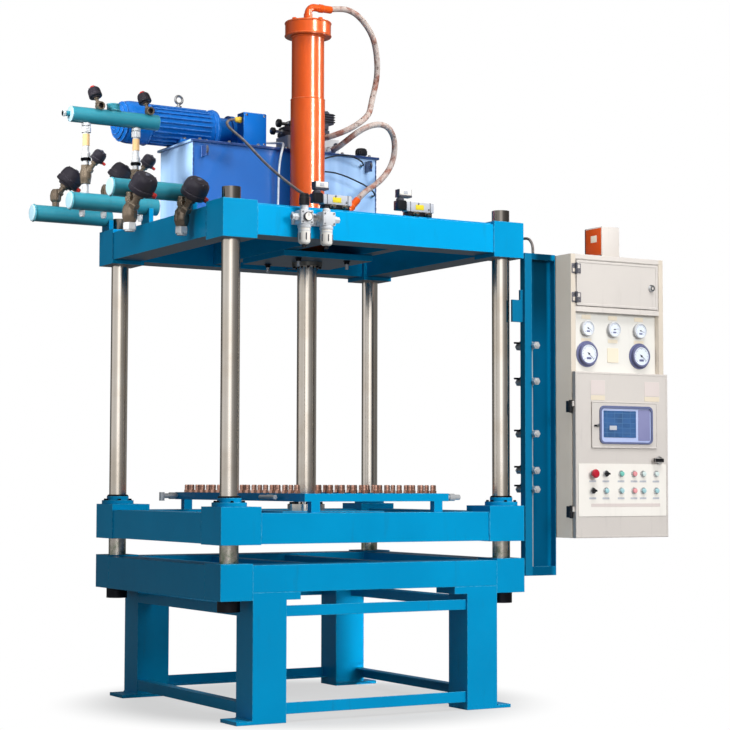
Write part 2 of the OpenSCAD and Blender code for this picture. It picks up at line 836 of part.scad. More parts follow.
// Filter regulator and lubricator side by side on a bracket plate
module air_service_unit() {
    y = -hy + 3 - 40;
    a = frl_x;
    b = frl_x + 100;
    color([0.78, 0.8, 0.82])
        union() {
            slab([a - 38, b + 37], [-hy - 5, -hy + 3], [beam_hi - 70, beam_hi - 20]);
            for (x = [a, b]) {
                slab([x - 28, x + 28], [y - 26, -hy - 5], [beam_hi - 72, beam_hi - 16]);
                post(x, y, [beam_hi - 150, beam_hi - 72], 24);
                post(x, y, [beam_hi - 162, beam_hi - 150], 9);
            }
            bar_x([a + 28, b - 28], y, beam_hi - 44, 14);
            bar_x([a - 58, a - 28], y, beam_hi - 44, 13);
            bar_x([b + 28, b + 58], y, beam_hi - 44, 13);
            post(a, y, [beam_hi - 16, beam_hi + 6], 15);
            post(a, y, [beam_hi + 6, beam_hi + 52], 21);
            post(b, y, [beam_hi - 16, beam_hi], 13);
        }
}

// Two solenoid valves on the front of the deck
module pneumatic_valves() {
    color(grey)
        for (x = [-178, 216])
            union() {
                slab([x - 60, x + 55], [-hy + 34, -hy + 80], [deck_hi, deck_hi + 22]);
                slab([x - 66, x + 66], [-hy + 36, -hy + 78], [deck_hi + 22, deck_hi + 62]);
                slab([x - 106, x - 66], [-hy + 36, -hy + 78], [deck_hi + 26, deck_hi + 84]);
                slab([x - 100, x - 40], [-hy + 42, -hy + 72], [deck_hi + 84, deck_hi + 112]);
            }
}

// Sheet channel with a front lip, end plates, spacers to the frames and one bracket toward the column
module pipe_trunk() {
    color(blue)
        difference() {
            union() {
                slab([trunk_x0, trunk_x1], [trunk_y1 - trunk_t, trunk_y1], [trunk_z0, trunk_z1]);
                slab([trunk_x0, trunk_x0 + trunk_t], [trunk_y0, trunk_y1], [trunk_z0, trunk_z1]);
                slab([trunk_x0, trunk_x0 + trunk_lip], [trunk_y0, trunk_y0 + trunk_t],
                    [trunk_z0, trunk_z1]);
                slab([trunk_x1 - trunk_t, trunk_x1], [trunk_y0, trunk_y1], [trunk_z0, trunk_z1]);
                slab([trunk_x0, trunk_x1], [trunk_y0, trunk_y1], [trunk_z0, trunk_z0 + 38]);
                slab([trunk_x0, trunk_x1], [trunk_y0, trunk_y1], [trunk_z1 - 26, trunk_z1]);
                slab([trunk_x1, cab_x0], [trunk_y0 + 6, trunk_y1 - 6], [cab_z0 + 60, cab_z1 - 60]);
                slab([hx, trunk_x0], [trunk_y0 + 6, trunk_y1 - 6], [trunk_z0, bed_top - 8]);
                slab([hx, trunk_x0], [trunk_y0 + 6, trunk_y1 - 6], [top_z, trunk_z1]);
                slab([col_x + 22, trunk_x0], [trunk_y0 + 14, trunk_y0 + 26],
                    [trunk_z1 - 295, trunk_z1 - 201]);
                slab([hx - 7, trunk_x0], [trunk_y0 + 14, trunk_y0 + 26], [trunk_z1 - 201, trunk_z1 - 158]);
            }
            for (z = tap_z)
                bar_y(tap_x, [trunk_y1 - trunk_t - 1, trunk_y1 + 1], z, tap_r + run);
        }
}

// Upright pipe with its taps, whose tails pass through the back of the trunk
module trunk_pipe() {
    color([0.85, 0.88, 0.9])
        union() {
            post(tap_x - 6, tap_y, [trunk_z0 + 38, trunk_z0 + 985], 8);
            for (z = tap_z) {
                post(tap_x - 6, tap_y, [z - 16, z + 16], 12);
                bar_y(tap_x, [tap_y - 40, trunk_y1 + 92], z, tap_r);
                bar_y(tap_x, [tap_y - 36, tap_y - 17], z, 16);
                bar_y(tap_x, [trunk_y1 + 46, trunk_y1 + 84], z, 16);
            }
        }
}

// Conduit from the side of the top frame down into the trunk
module trunk_conduit() {
    color(grey)
        hose(conduit_route, conduit_r, 8);
}

module cabinet_posts() {
    color(cream)
        for (x = [cab_x0, bay_x1]) {
            slab([x, x + cab_wall], [cab_y0, cab_y1], [cab_z0, cab_z1]);
            if (x == cab_x0) {
                for (z = [shelf_b - 130, cab_z0 + 110]) {
                    post(lower_axis_x, lower_axis_y, [z - 22, z], 7);
                    slab([lower_axis_x + 2, cab_x0], [lower_axis_y, cab_y0 + 34], [z - 22, z]);
                }
                for (z = [shelf_a + 60, cab_z1 - 62]) {
                    post(upper_axis_x, upper_axis_y, [z - 16, z], 4);
                    slab([upper_axis_x - 16, upper_axis_x], [upper_axis_y + 2, cab_y0], [z - 16, z]);
                }
            }
        }
}

// Top, two shelves and bottom of the cabinet
module cabinet_shelves() {
    color(cream)
        for (z = [cab_z0, shelf_b, shelf_a, cab_z1 - shelf_t])
            slab([bay_x0, bay_x1], [cab_y0, cab_y1 - 6], [z, z + shelf_t]);
}

module cabinet_back() {
    color(cream)
        for (z = [[cab_z0 + shelf_t, shelf_b], [shelf_b + shelf_t, shelf_a],
            [shelf_a + shelf_t, cab_z1 - shelf_t]])
            slab([bay_x0, bay_x1], [cab_y1 - 12, cab_y1 - 6], z);
}

module gauge_panel() {
    color(cream)
        slab([bay_x0, bay_x1], [panel_y, panel_y + 4], [shelf_b + shelf_t, shelf_a]);
}

// Three small gauges above two large ones
module pressure_gauges() {
    mid = (bay_x0 + bay_x1) / 2;
    color([0.9, 0.9, 0.9]) {
        for (k = [-1 : 1])
            bar_y(mid + 142 * k - 8, [panel_y - 18, panel_y], shelf_a - 68, 33);
        for (k = [-1, 1])
            bar_y(mid + 142 * k - 6, [panel_y - 20, panel_y], shelf_a - 178, 47);
    }
}

module signal_box() {
    color([0.85, 0.4, 0.15])
        slab([cab_x0 + 222, cab_x0 + 317], [cab_y0 + 72, cab_y0 + 195], [cab_z1, cab_z1 + 140]);
}

module platen_corner_blocks() {
    color(blue)
        for (sx = [-1, 1], sy = [-1, 1])
            corner_block(sx, sy, platen_block, [platen_z, platen_top], bush_d / 2 + fit);
}

module platen_long_beams() {
    color(blue)
        for (sy = [-1, 1])
            slab([platen_block - hx, hx - platen_block], side(sy, hy - 4 - platen_beam_w, hy - 4),
                [platen_z + 3, platen_beam_hi]);
}

// Side beams and the two inner beams of the platen
module platen_cross_beams() {
    color(blue)
        for (sx = [-1, 1]) {
            slab(side(sx, hx - 4 - platen_beam_w, hx - 4), [platen_block - hy, hy - platen_block],
                [platen_z + 3, platen_beam_hi]);
            slab(side(sx, cross_x - cross_w / 2, cross_x + cross_w / 2),
                [platen_beam_w + 4 - hy, hy - platen_beam_w - 4], [platen_z + 12, platen_beam_hi - 24]);
        }
}

module rod_plate() {
    color(blue)
        slab([-plate_half, plate_half], [-plate_half, plate_half], [platen_beam_hi - 24, platen_beam_hi]);
}

// Flanged bushings that run on the columns
module guide_bushings() {
    color(grey)
        for (sx = [-1, 1], sy = [-1, 1])
            difference() {
                union() {
                    post(sx * col_x, sy * col_y, [platen_z, platen_top + 34], bush_d / 2);
                    post(sx * col_x, sy * col_y, [platen_top, platen_top + 16], bush_flange_d / 2);
                }
                post(sx * col_x, sy * col_y, [platen_z - 1, platen_top + 35], col_r + run);
            }
}

// Rod with its foot flange and its piston
module piston_rod() {
    color(grey)
        union() {
            post(0, 0, [platen_beam_hi, platen_beam_hi + rod_flange_h], 80);
            post(0, 0, [platen_beam_hi, piston_hi], rod_d / 2);
            post(0, 0, [piston_hi - piston_h, piston_hi], bore_d / 2 - run);
        }
}

// Front and back tubes of the filling manifold with their stand-offs
module manifold_long_tubes() {
    color(blue)
        for (sy = [-1, 1])
            union() {
                slab([-mani_x, mani_x], side(sy, mani_y - mani_t, mani_y), [mani_z, mani_hi]);
                for (x = [-mani_x + 30, mani_x - 70])
                    slab([x, x + 40], side(sy, mani_y - mani_t, mani_y), [platen_beam_hi, mani_z]);
            }
}

module manifold_side_tubes() {
    color(blue)
        for (sx = [-1, 1])
            slab(side(sx, mani_x - mani_t, mani_x), [mani_t - mani_y, mani_y - mani_t], [mani_z, mani_hi]);
}

// Silver hose unions at two corners and on the left tube
module manifold_fittings() {
    z = mani_z + mani_t / 2;
    color(grey) {
        union() {
            bar_x([-mani_x - 72, -mani_x], mani_y - mani_t / 2, z, 11);
            bar_x([-mani_x - 36, -mani_x - 8], mani_y - mani_t / 2, z, 15);
            post(-mani_x - 72, mani_y - mani_t / 2, [z - 22, z + 16], 12);
        }
        union() {
            bar_x([mani_x, mani_x + 62], mani_t / 2 - mani_y, z, 11);
            bar_x([mani_x + 10, mani_x + 36], mani_t / 2 - mani_y, z, 15);
        }
        union() {
            bar_x([-mani_x - 26, -mani_x], 272 - mani_y, z, 10);
            bar_y(-mani_x - 26, [198 - mani_y, 328 - mani_y], z, 9);
        }
    }
}

nip_n = floor((mani_w - mani_t) / nip_pitch);
nip_m = floor((2 * mani_y - 3 * mani_t) / nip_pitch);

module nipple(x, y) {
    translate([x, y, mani_hi])
        cylinder(h = 13, r = 11, $fn = 6);
    translate([x, y, mani_hi + 13])
        cylinder(h = nip_h - 13, r = 7, $fn = 8);
}

// Filling nipples along all four tubes
module manifold_nipples() {
    color([0.72, 0.45, 0.2]) {
        for (sy = [-1, 1], k = [0 : nip_n - 1])
            nipple((k - (nip_n - 1) / 2) * nip_pitch, sy * (mani_y - mani_t / 2));
        for (sx = [-1, 1], k = [0 : nip_m - 1])
            nipple(sx * (mani_x - mani_t / 2), (k - (nip_m - 1) / 2) * nip_pitch);
    }
}

// Upper door with its hinge leaves and lock
module upper_door() {
    x0 = bay_x0 + door_gap;
    x1 = bay_x1 - door_gap;
    color(cream)
        union() {
            slab([x0, x1], [cab_y0, cab_y0 + door_t - 2],
                [shelf_a + shelf_t + door_gap, cab_z1 - shelf_t - door_gap]);
            for (z = [shelf_a + 60, cab_z1 - 62]) {
                post(upper_axis_x, upper_axis_y, [z + run, z + 16], 4);
                slab([upper_axis_x, x0 + 16], [upper_axis_y + 1, upper_axis_y + 4], [z + run, z + 16]);
                slab([x0, x0 + 16], [upper_axis_y + 4, cab_y0], [z + run, z + 16]);
            }
            bar_y(x1 - 36, [cab_y0 - 10, cab_y0], shelf_a + 118, 13);
        }
}

// Lower door leaf with hinge leaves and handle
module lower_door() {
    color(cream)
        union() {
            slab([leaf_x0, cab_x1], [leaf_y0, leaf_y1], [cab_z0, shelf_b + shelf_t - 2]);
            for (z = [shelf_b - 130, cab_z0 + 110]) {
                post(lower_axis_x, lower_axis_y, [z + run, z + 22], 7);
                slab([lower_axis_x, leaf_x0], [lower_axis_y - 12, lower_axis_y - 2], [z + run, z + 22]);
            }
            bar_y(cab_x1 - 50, [leaf_y0 - 12, leaf_y0], cab_z0 + 330, 13);
            slab([cab_x1 - 90, cab_x1 - 40], [leaf_y0 - 24, leaf_y0 - 12], [cab_z0 + 321, cab_z0 + 339]);
        }
}

// Screen cover frame and the bezel in it
module screen_unit() {
    x0 = leaf_x0 + 82;
    z0 = cab_z0 + 380;
    color([0.2, 0.24, 0.32])
        union() {
            slab([x0, x0 + 352], [leaf_y0 - 5, leaf_y0], [z0, z0 + 197]);
            slab([x0 + 40, x0 + 325], [leaf_y0 - 11, leaf_y0 - 5], [z0 + 18, z0 + 180]);
        }
}

key_x = [87, 157, 238, 308, 357, 428];

// Overlay plate with two rows of operating elements
module control_buttons() {
    z0 = cab_z0 + 91;
    color([0.93, 0.93, 0.93])
        union() {
            slab([leaf_x0 + 14, cab_x1 - 12], [leaf_y0 - 2, leaf_y0], [z0, z0 + 222]);
            for (k = [0 : 5]) {
                bar_y(leaf_x0 + key_x[k], [leaf_y0 - 14, leaf_y0 - 2], z0 + 180, 15);
                bar_y(leaf_x0 + key_x[k], [leaf_y0 - 14, leaf_y0 - 2], z0 + 108, 15);
            }
            bar_y(leaf_x0 + key_x[0], [leaf_y0 - 34, leaf_y0 - 14], z0 + 180, 20);
        }
}

front_legs();
back_legs();
floor_rails();
upper_rails();
bed_corner_blocks();
bed_long_beams();
bed_cross_beams();
guide_columns();
column_nuts();
top_corner_blocks();
top_long_beams();
top_cross_beams();
top_deck();
cylinder_mount_plate();
cylinder_barrel();
cylinder_cap();
cylinder_gland();
oil_tank();
pump_motor();
motor_cowl();
pump_housing();
junction_box();
valve_block();
hydraulic_valves();
tank_breather();
top_hose();
low_hose();
junction_cable();
thin_tubes();
supply_pipes();
upper_pipe();
riser_pipes();
pipe_saddles();
valve_bodies();
valve_actuators();
air_service_unit();
pneumatic_valves();
pipe_trunk();
trunk_pipe();
trunk_conduit();
cabinet_posts();
cabinet_shelves();
cabinet_back();
gauge_panel();
pressure_gauges();
signal_box();
platen_corner_blocks();
platen_long_beams();
platen_cross_beams();
rod_plate();
guide_bushings();
piston_rod();
manifold_long_tubes();
manifold_side_tubes();
manifold_fittings();
manifold_nipples();
upper_door();
lower_door();
screen_unit();
control_buttons();
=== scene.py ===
import json
import math

import bmesh
import bpy
from mathutils import Matrix, Vector

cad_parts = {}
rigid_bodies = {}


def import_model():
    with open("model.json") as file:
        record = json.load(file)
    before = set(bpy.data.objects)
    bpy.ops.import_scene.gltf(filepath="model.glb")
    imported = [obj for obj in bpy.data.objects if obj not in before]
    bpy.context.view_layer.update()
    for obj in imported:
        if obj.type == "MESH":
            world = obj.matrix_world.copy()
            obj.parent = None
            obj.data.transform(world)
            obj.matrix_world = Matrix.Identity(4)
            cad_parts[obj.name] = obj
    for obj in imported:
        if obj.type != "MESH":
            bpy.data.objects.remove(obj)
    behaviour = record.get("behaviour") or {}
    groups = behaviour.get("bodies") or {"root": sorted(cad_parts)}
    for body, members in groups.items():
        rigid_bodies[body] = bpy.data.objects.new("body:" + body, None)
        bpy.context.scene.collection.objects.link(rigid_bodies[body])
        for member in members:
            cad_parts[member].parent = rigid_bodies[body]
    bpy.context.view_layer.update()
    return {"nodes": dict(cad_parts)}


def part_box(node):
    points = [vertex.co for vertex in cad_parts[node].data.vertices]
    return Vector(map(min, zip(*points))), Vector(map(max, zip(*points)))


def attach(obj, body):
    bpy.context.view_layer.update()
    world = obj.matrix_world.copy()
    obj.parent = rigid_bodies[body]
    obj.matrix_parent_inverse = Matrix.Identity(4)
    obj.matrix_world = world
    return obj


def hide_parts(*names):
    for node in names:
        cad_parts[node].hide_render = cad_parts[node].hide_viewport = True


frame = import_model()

node = frame["nodes"]
scene = bpy.context.scene

# Camera of the photograph: on the left in front of the machine, level with the filling nipples, looking
# slightly up. Its place and focal length come from a fit to the corners of the three frames.
FOCAL_PX, PHOTO_PX, SENSOR_MM = 1904.05, 730, 36
yaw, pitch, roll = math.radians(30.575), math.radians(3.58), math.radians(0.132)
eye = Vector((-3.9573, -7.1937, 0.9256))
ahead = Vector((math.sin(yaw) * math.cos(pitch), math.cos(yaw) * math.cos(pitch), math.sin(pitch)))
level = Vector((math.cos(yaw), -math.sin(yaw), 0))
upright = level.cross(ahead)
right = math.cos(roll) * level + math.sin(roll) * upright
up = math.cos(roll) * upright - math.sin(roll) * level
camera = bpy.data.objects.new("camera", bpy.data.cameras.new("camera"))
camera.data.sensor_width = SENSOR_MM
camera.data.lens = FOCAL_PX / PHOTO_PX * SENSOR_MM
camera.data.clip_end = 60
camera.matrix_world = Matrix([(right[i], up[i], -ahead[i], eye[i]) for i in range(3)] + [(0, 0, 0, 1)])
scene.collection.objects.link(camera)
scene.camera = camera
scene.view_settings.view_transform = "Standard"

# Hydraulic hoses: rubber hoses with a worn reddish textile braid, screwed to the valve block at one end and
# to the cap's elbow or the rod side port of the cylinder at the other.
CAP, LID, PORT = 2.935, 2.390, 2.066
BLOCK_Y, HOSE_R = 0.167, 0.013
BRAID_ALONG, BRAID_ROUND = 900.0, 75.4


def material(name):
    m = bpy.data.materials.new(name)
    m.use_nodes = True
    m.node_tree.nodes.clear()
    return m


def feed(tree, socket, value):
    """Links a socket to another one, or sets it to a constant."""
    if isinstance(value, bpy.types.NodeSocket):
        tree.links.new(value, socket)
    else:
        socket.default_value = value


def add(tree, kind, **sockets):
    n = tree.nodes.new("ShaderNode" + kind)
    for key, value in sockets.items():
        feed(tree, n.inputs[key.replace("_", " ")], value)
    return n


def math_node(tree, operation, *values):
    n = tree.nodes.new("ShaderNodeMath")
    n.operation = operation
    for socket, value in zip(n.inputs, values):
        feed(tree, socket, value)
    return n.outputs[0]


def times(tree, a, b):
    return math_node(tree, "MULTIPLY", a, b)


def ramp(tree, value, low, high, low_to=0.0, high_to=1.0):
    n = tree.nodes.new("ShaderNodeMapRange")
    n.interpolation_type = "SMOOTHSTEP"
    for socket, given in zip(n.inputs, (value, low, high, low_to, high_to)):
        feed(tree, socket, given)
    return n.outputs[0]


def mix(tree, factor, a, b):
    n = tree.nodes.new("ShaderNodeMix")
    n.data_type = "RGBA"
    for i, value in ((0, factor), (6, a), (7, b)):
        feed(tree, n.inputs[i], value)
    return n.outputs[2]


def rgb(code):
    """A colour for the shader from the code that a paint chart gives."""
    def linear(v):
        return v / 12.92 if v <= 0.04045 else ((v + 0.055) / 1.055) ** 2.4
    return tuple(linear(int(code[i:i + 2], 16) / 255) for i in (0, 2, 4)) + (1.0,)


def finish_material(m, **sockets):
    shader = add(m.node_tree, "BsdfPrincipled", **sockets)
    out = m.node_tree.nodes.new("ShaderNodeOutputMaterial")
    m.node_tree.links.new(shader.outputs[0], out.inputs[0])


def position(tree):
    return tree.nodes.new("ShaderNodeTexCoord").outputs["Object"]


def axes(tree, vector):
    """The x, y and z of a vector, as three sockets."""
    return add(tree, "SeparateXYZ", Vector=vector).outputs


def noise(tree, where, scale, detail=3.0, rough=0.5):
    return add(tree, "TexNoise", Vector=where, Scale=scale, Detail=detail, Roughness=rough).outputs["Fac"]


def ridges(tree, height, strength, depth):
    return add(tree, "Bump", Height=height, Strength=strength, Distance=depth).outputs[0]


def circle(count, radius, start=0.0):
    """Points spread evenly round a circle, as pairs, the first one a share of a step past zero."""
    angles = [2 * math.pi * (k + start) / count for k in range(count)]
    return [(radius * math.cos(a), radius * math.sin(a)) for a in angles]


def smooth_path(points, per=6, rounds=12):
    """A curve through given points, smoothed in rounds so that no corner is left."""
    ends = [points[0]] + list(points) + [points[-1]]
    curve = []
    for i in range(1, len(ends) - 2):
        a, b, c, d = (Vector(p) for p in ends[i - 1:i + 3])
        for s in (k / per for k in range(per)):
            curve.append(0.5 * ((2 * b) + (c - a) * s + (2 * a - 5 * b + 4 * c - d) * s ** 2
                                + (3 * b - a - 3 * c + d) * s ** 3))
    curve.append(Vector(points[-1]))
    for _ in range(rounds):
        curve[1:-1] = [(a + 2 * b + c) / 4 for a, b, c in zip(curve, curve[1:], curve[2:])]
    return curve


def tube(name, path, radius, sides=16):
    """A closed mesh tube along a path, with distance along it and angle round it as its UV."""
    bm = bmesh.new()
    uv = bm.loops.layers.uv.new("along")
    rows, lengths, far, side = [], [], 0.0, None
    for i, p in enumerate(path):
        run = (path[min(i + 1, len(path) - 1)] - path[max(i - 1, 0)]).normalized()
        side = side or run.orthogonal()
        side = (side - run * side.dot(run)).normalized()
        across = run.cross(side)
        far += (p - path[i - 1]).length if i else 0.0
        lengths.append(far)
        rows.append([bm.verts.new(p + u * side + w * across) for u, w in circle(sides, radius)])
    for i in range(len(path) - 1):
        for k in range(sides):
            corners = ((i, k), (i, k + 1), (i + 1, k + 1), (i + 1, k))
            f = bm.faces.new([rows[a][b % sides] for a, b in corners])
            f.smooth = True
            for loop, (a, b) in zip(f.loops, corners):
                loop[uv].uv = (lengths[a], b / sides)
    bm.faces.new(rows[0][::-1])
    bm.faces.new(rows[-1])
    bmesh.ops.recalc_face_normals(bm, faces=bm.faces)
    mesh = bpy.data.meshes.new(name)
    bm.to_mesh(mesh)
    bm.free()
    obj = bpy.data.objects.new(name, mesh)
    scene.collection.objects.link(obj)
    return obj, lengths[-1]


def cord(name, points, radius, surface, replaced):
    """A hose, cable or tube that hangs between two fittings of the machine."""
    fine = smooth_path(points)
    path = fine[::3]
    obj, length = tube(name, fine, radius)
    obj.data.materials.append(surface)
    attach(obj, "machine")
    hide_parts(replaced)
    path[0]


hose_cover = material("hose_braid")
t = hose_cover.node_tree
along = axes(t, t.nodes.new("ShaderNodeUVMap").outputs[0])
strands = []
for lead in (BRAID_ROUND, -BRAID_ROUND):
    phase = math_node(t, "ADD", times(t, along[0], BRAID_ALONG), times(t, along[1], lead))
    strands.append(math_node(t, "SINE", phase))
weave = times(t, *strands)
wear = ramp(t, noise(t, position(t), 14.0, 4.0, 0.7), 0.36, 0.56)
marks = ramp(t, noise(t, position(t), 48.0, 4.0, 0.75), 0.56, 0.66, 0.0, 0.8)
cover = mix(t, wear, rgb("A9705F"), rgb("D6C8BF"))
cover = mix(t, marks, cover, rgb("4A302A"))
cover = mix(t, ramp(t, weave, -0.9, 0.9, 0.0, 0.25), cover, rgb("7A5044"))
finish_material(hose_cover, Base_Color=cover, Roughness=0.72, Normal=ridges(t, weave, 0.5, 0.002))

ELBOW = (0.064, 0, CAP + 0.072)
PORT_RISE = math.radians(48)
PORT_DIR = Vector((math.cos(PORT_RISE), 0, math.sin(PORT_RISE)))
PORT_TIP = Vector((0.132 + 0.045 * PORT_DIR.z, 0, PORT + 0.045 * (1 - PORT_DIR.x))) + 0.080 * PORT_DIR
cord("top_hose_braided", [
    ELBOW, (0.105, 0, CAP + 0.072), (0.183, 0.002, CAP + 0.088), (0.260, 0.014, CAP + 0.072),
    (0.335, 0.028, CAP + 0.008), (0.372, 0.046, CAP - 0.058), (0.396, 0.069, CAP - 0.151),
    (0.394, 0.088, CAP - 0.228), (0.365, 0.075, CAP - 0.305), (0.327, 0.024, LID + 0.183),
    (0.262, -0.015, LID + 0.133), (0.206, -0.009, LID + 0.096), (0.159, 0.030, LID + 0.072),
    (0.133, 0.087, LID + 0.064), (0.130, 0.147, LID + 0.064), (0.130, BLOCK_Y, LID + 0.064)],
    HOSE_R, hose_cover, "top_hose")
cord("low_hose_braided", [
    (0.196, BLOCK_Y, LID + 0.022), (0.196, 0.106, LID + 0.022), (0.205, 0.044, LID + 0.041),
    (0.237, -0.003, LID + 0.078), (0.292, -0.023, LID + 0.115), (0.370, -0.012, LID + 0.134),
    (0.430, 0.012, LID + 0.117), (0.468, 0.038, LID + 0.070), (0.475, 0.057, LID + 0.004),
    (0.448, 0.057, LID - 0.058), (0.381, 0.028, LID - 0.118), (0.331, 0.008, PORT + 0.175),
    (0.300, 0.001, PORT + 0.156), (0.271, 0, PORT + 0.131), PORT_TIP + 0.030 * PORT_DIR, PORT_TIP],
    HOSE_R, hose_cover, "low_hose")

# Conduits: corrugated grey plastic with patches of dust and painted shade in the troughs of its ribs, pushed
# into glands. One leads from the motor's junction box to the coil of a solenoid valve, the other from the top
# frame into the pipe trunk.
TANK_Y, BEAM, CONDUIT_R = 0.092, 1.899, 0.006
CONDUIT_X, TAP_Y = 0.770, -0.599
RIBS_ALONG = 1256.0
conduit_grey = material("corrugated_conduit")
t = conduit_grey.node_tree
along = axes(t, t.nodes.new("ShaderNodeUVMap").outputs[0])
ribs = math_node(t, "SINE", times(t, along[0], RIBS_ALONG))
dust = ramp(t, noise(t, position(t), 22.0), 0.4, 0.7)
cover = mix(t, dust, rgb("7D7470"), rgb("A59C97"))
# Painted shade: the troughs between the ribs are drawn dark.
cover = mix(t, ramp(t, ribs, -1.0, 0.2, 0.5, 0.0), cover, rgb("4A4341"))
finish_material(conduit_grey, Base_Color=cover, Roughness=0.5, Normal=ridges(t, ribs, 0.6, 0.0015))
cord("junction_conduit", [
    (-0.245, TANK_Y + 0.068, LID + 0.118), (-0.285, TANK_Y + 0.068, LID + 0.118),
    (-0.319, TANK_Y + 0.050, LID + 0.104), (-0.340, TANK_Y + 0.004, LID + 0.069),
    (-0.309, 0.012, LID + 0.006), (-0.303, -0.090, LID - 0.066), (-0.302, -0.200, LID - 0.136),
    (-0.298, -0.320, LID - 0.205), (-0.289, -0.427, LID - 0.265), (-0.273, -0.478, LID - 0.296),
    (-0.264, -0.508, LID - 0.304), (-0.264, -0.537, LID - 0.304)],
    CONDUIT_R, conduit_grey, "junction_cable")
cord("trunk_conduit_grey", [
    (0.707, -0.420, BEAM + 0.077), (0.730, -0.420, BEAM + 0.077), (0.750, -0.426, BEAM + 0.077),
    (0.765, -0.438, BEAM + 0.078), (CONDUIT_X + 0.006, -0.457, BEAM + 0.080),
    (CONDUIT_X + 0.011, -0.481, BEAM + 0.082), (CONDUIT_X + 0.010, -0.514, BEAM + 0.084),
    (CONDUIT_X + 0.007, -0.544, BEAM + 0.082), (CONDUIT_X + 0.004, -0.567, BEAM + 0.075),
    (CONDUIT_X + 0.002, -0.583, BEAM + 0.063), (CONDUIT_X + 0.001, -0.594, BEAM + 0.048),
    (CONDUIT_X, TAP_Y, BEAM + 0.030), (CONDUIT_X, TAP_Y, BEAM + 0.009)],
    CONDUIT_R, conduit_grey, "trunk_conduit")

# Thin tubes: a milky plastic drain tube from the junction box down to the deck, and two black air tubes that
# are pushed into fittings on the front of the oil tank.
DECK, TUBE_X = 2.026, -0.139
DRAIN_R, AIR_TUBE_R = 0.005, 0.0035


def hazy_tube(name, clear, haze, scale, high, rough):
    m = material(name)
    tree = m.node_tree
    cloud = ramp(tree, noise(tree, position(tree), scale), high - 0.35, high)
    finish_material(m, Base_Color=mix(tree, cloud, rgb(clear), rgb(haze)), Roughness=rough)
    return m


tube_white = hazy_tube("milky_tube", "E9EDF0", "C9D2D8", 40.0, 0.7, 0.35)
tube_black = hazy_tube("black_air_tube", "15171C", "33363E", 60.0, 0.75, 0.38)
cord("drain_tube_pale", [
    (TUBE_X, TANK_Y + 0.068, LID + 0.030), (TUBE_X + 0.026, TANK_Y + 0.068, LID + 0.030),
    (TUBE_X + 0.052, TANK_Y + 0.055, LID + 0.030), (TUBE_X + 0.067, TANK_Y + 0.031, LID + 0.028),
    (TUBE_X + 0.066, TANK_Y - 0.007, LID + 0.021), (TUBE_X + 0.047, TANK_Y - 0.035, LID - 0.005),
    (TUBE_X + 0.029, TANK_Y - 0.042, LID - 0.060), (TUBE_X + 0.026, TANK_Y - 0.036, LID - 0.142),
    (TUBE_X + 0.026, TANK_Y - 0.034, LID - 0.239), (TUBE_X + 0.024, TANK_Y - 0.032, DECK + 0.043),
    (TUBE_X + 0.024, TANK_Y - 0.032, DECK)],
    DRAIN_R, tube_white, "thin_tubes")
cord("upper_air_tube", [
    (0.108, TANK_Y, LID - 0.036), (0.108, TANK_Y - 0.027, LID - 0.036), (0.119, TANK_Y - 0.047, LID - 0.033),
    (0.143, TANK_Y - 0.058, LID - 0.025), (0.184, TANK_Y - 0.061, LID - 0.016),
    (0.225, TANK_Y - 0.061, LID - 0.015), (0.269, TANK_Y - 0.062, LID - 0.024),
    (0.303, TANK_Y - 0.052, LID - 0.038), (0.318, TANK_Y - 0.030, LID - 0.046), (0.318, TANK_Y, LID - 0.046)],
    AIR_TUBE_R, tube_black, "thin_tubes")
cord("lower_air_tube", [
    (0.108, TANK_Y, LID - 0.092), (0.108, TANK_Y - 0.028, LID - 0.092), (0.121, TANK_Y - 0.048, LID - 0.094),
    (0.150, TANK_Y - 0.059, LID - 0.096), (0.200, TANK_Y - 0.061, LID - 0.105),
    (0.260, TANK_Y - 0.059, LID - 0.122), (0.325, TANK_Y - 0.062, LID - 0.147),
    (0.361, TANK_Y - 0.054, LID - 0.168), (0.376, TANK_Y - 0.031, LID - 0.178), (0.376, TANK_Y, LID - 0.178)],
    AIR_TUBE_R, tube_black, "thin_tubes")

# Studio: a pale floor that runs out into the white surround, a large soft light in front and another one
# overhead, so that fronts are bright and the left sides fall into shade as in the photograph.
FLOOR_HALF, SHADE_FROM, SHADE_TO = 30, 0.7, 1.12
world = bpy.data.worlds.new("studio")
scene.world = world
world.use_nodes = True
t = world.node_tree
t.nodes.clear()
heading = axes(t, t.nodes.new("ShaderNodeTexCoord").outputs["Generated"])
azimuth = math_node(t, "ARCTAN2", heading[0], times(t, heading[1], -1.0))
horizon = math_node(t, "MULTIPLY_ADD", azimuth, 0.5 / math.pi, 0.5)


def bands(tree, places):
    """Grey levels round the horizon: 0 is behind the machine, 0.25 its left, 0.5 its front."""
    n = tree.nodes.new("ShaderNodeValToRGB")
    tree.links.new(horizon, n.inputs[0])
    for stop, (place, grey) in zip(n.color_ramp.elements, (places[0], places[-1])):
        stop.position = place
        stop.color = (grey, grey, grey, 1)
    for place, grey in places[1:-1]:
        n.color_ramp.elements.new(place).color = (grey, grey, grey, 1)
    return n.outputs[0]


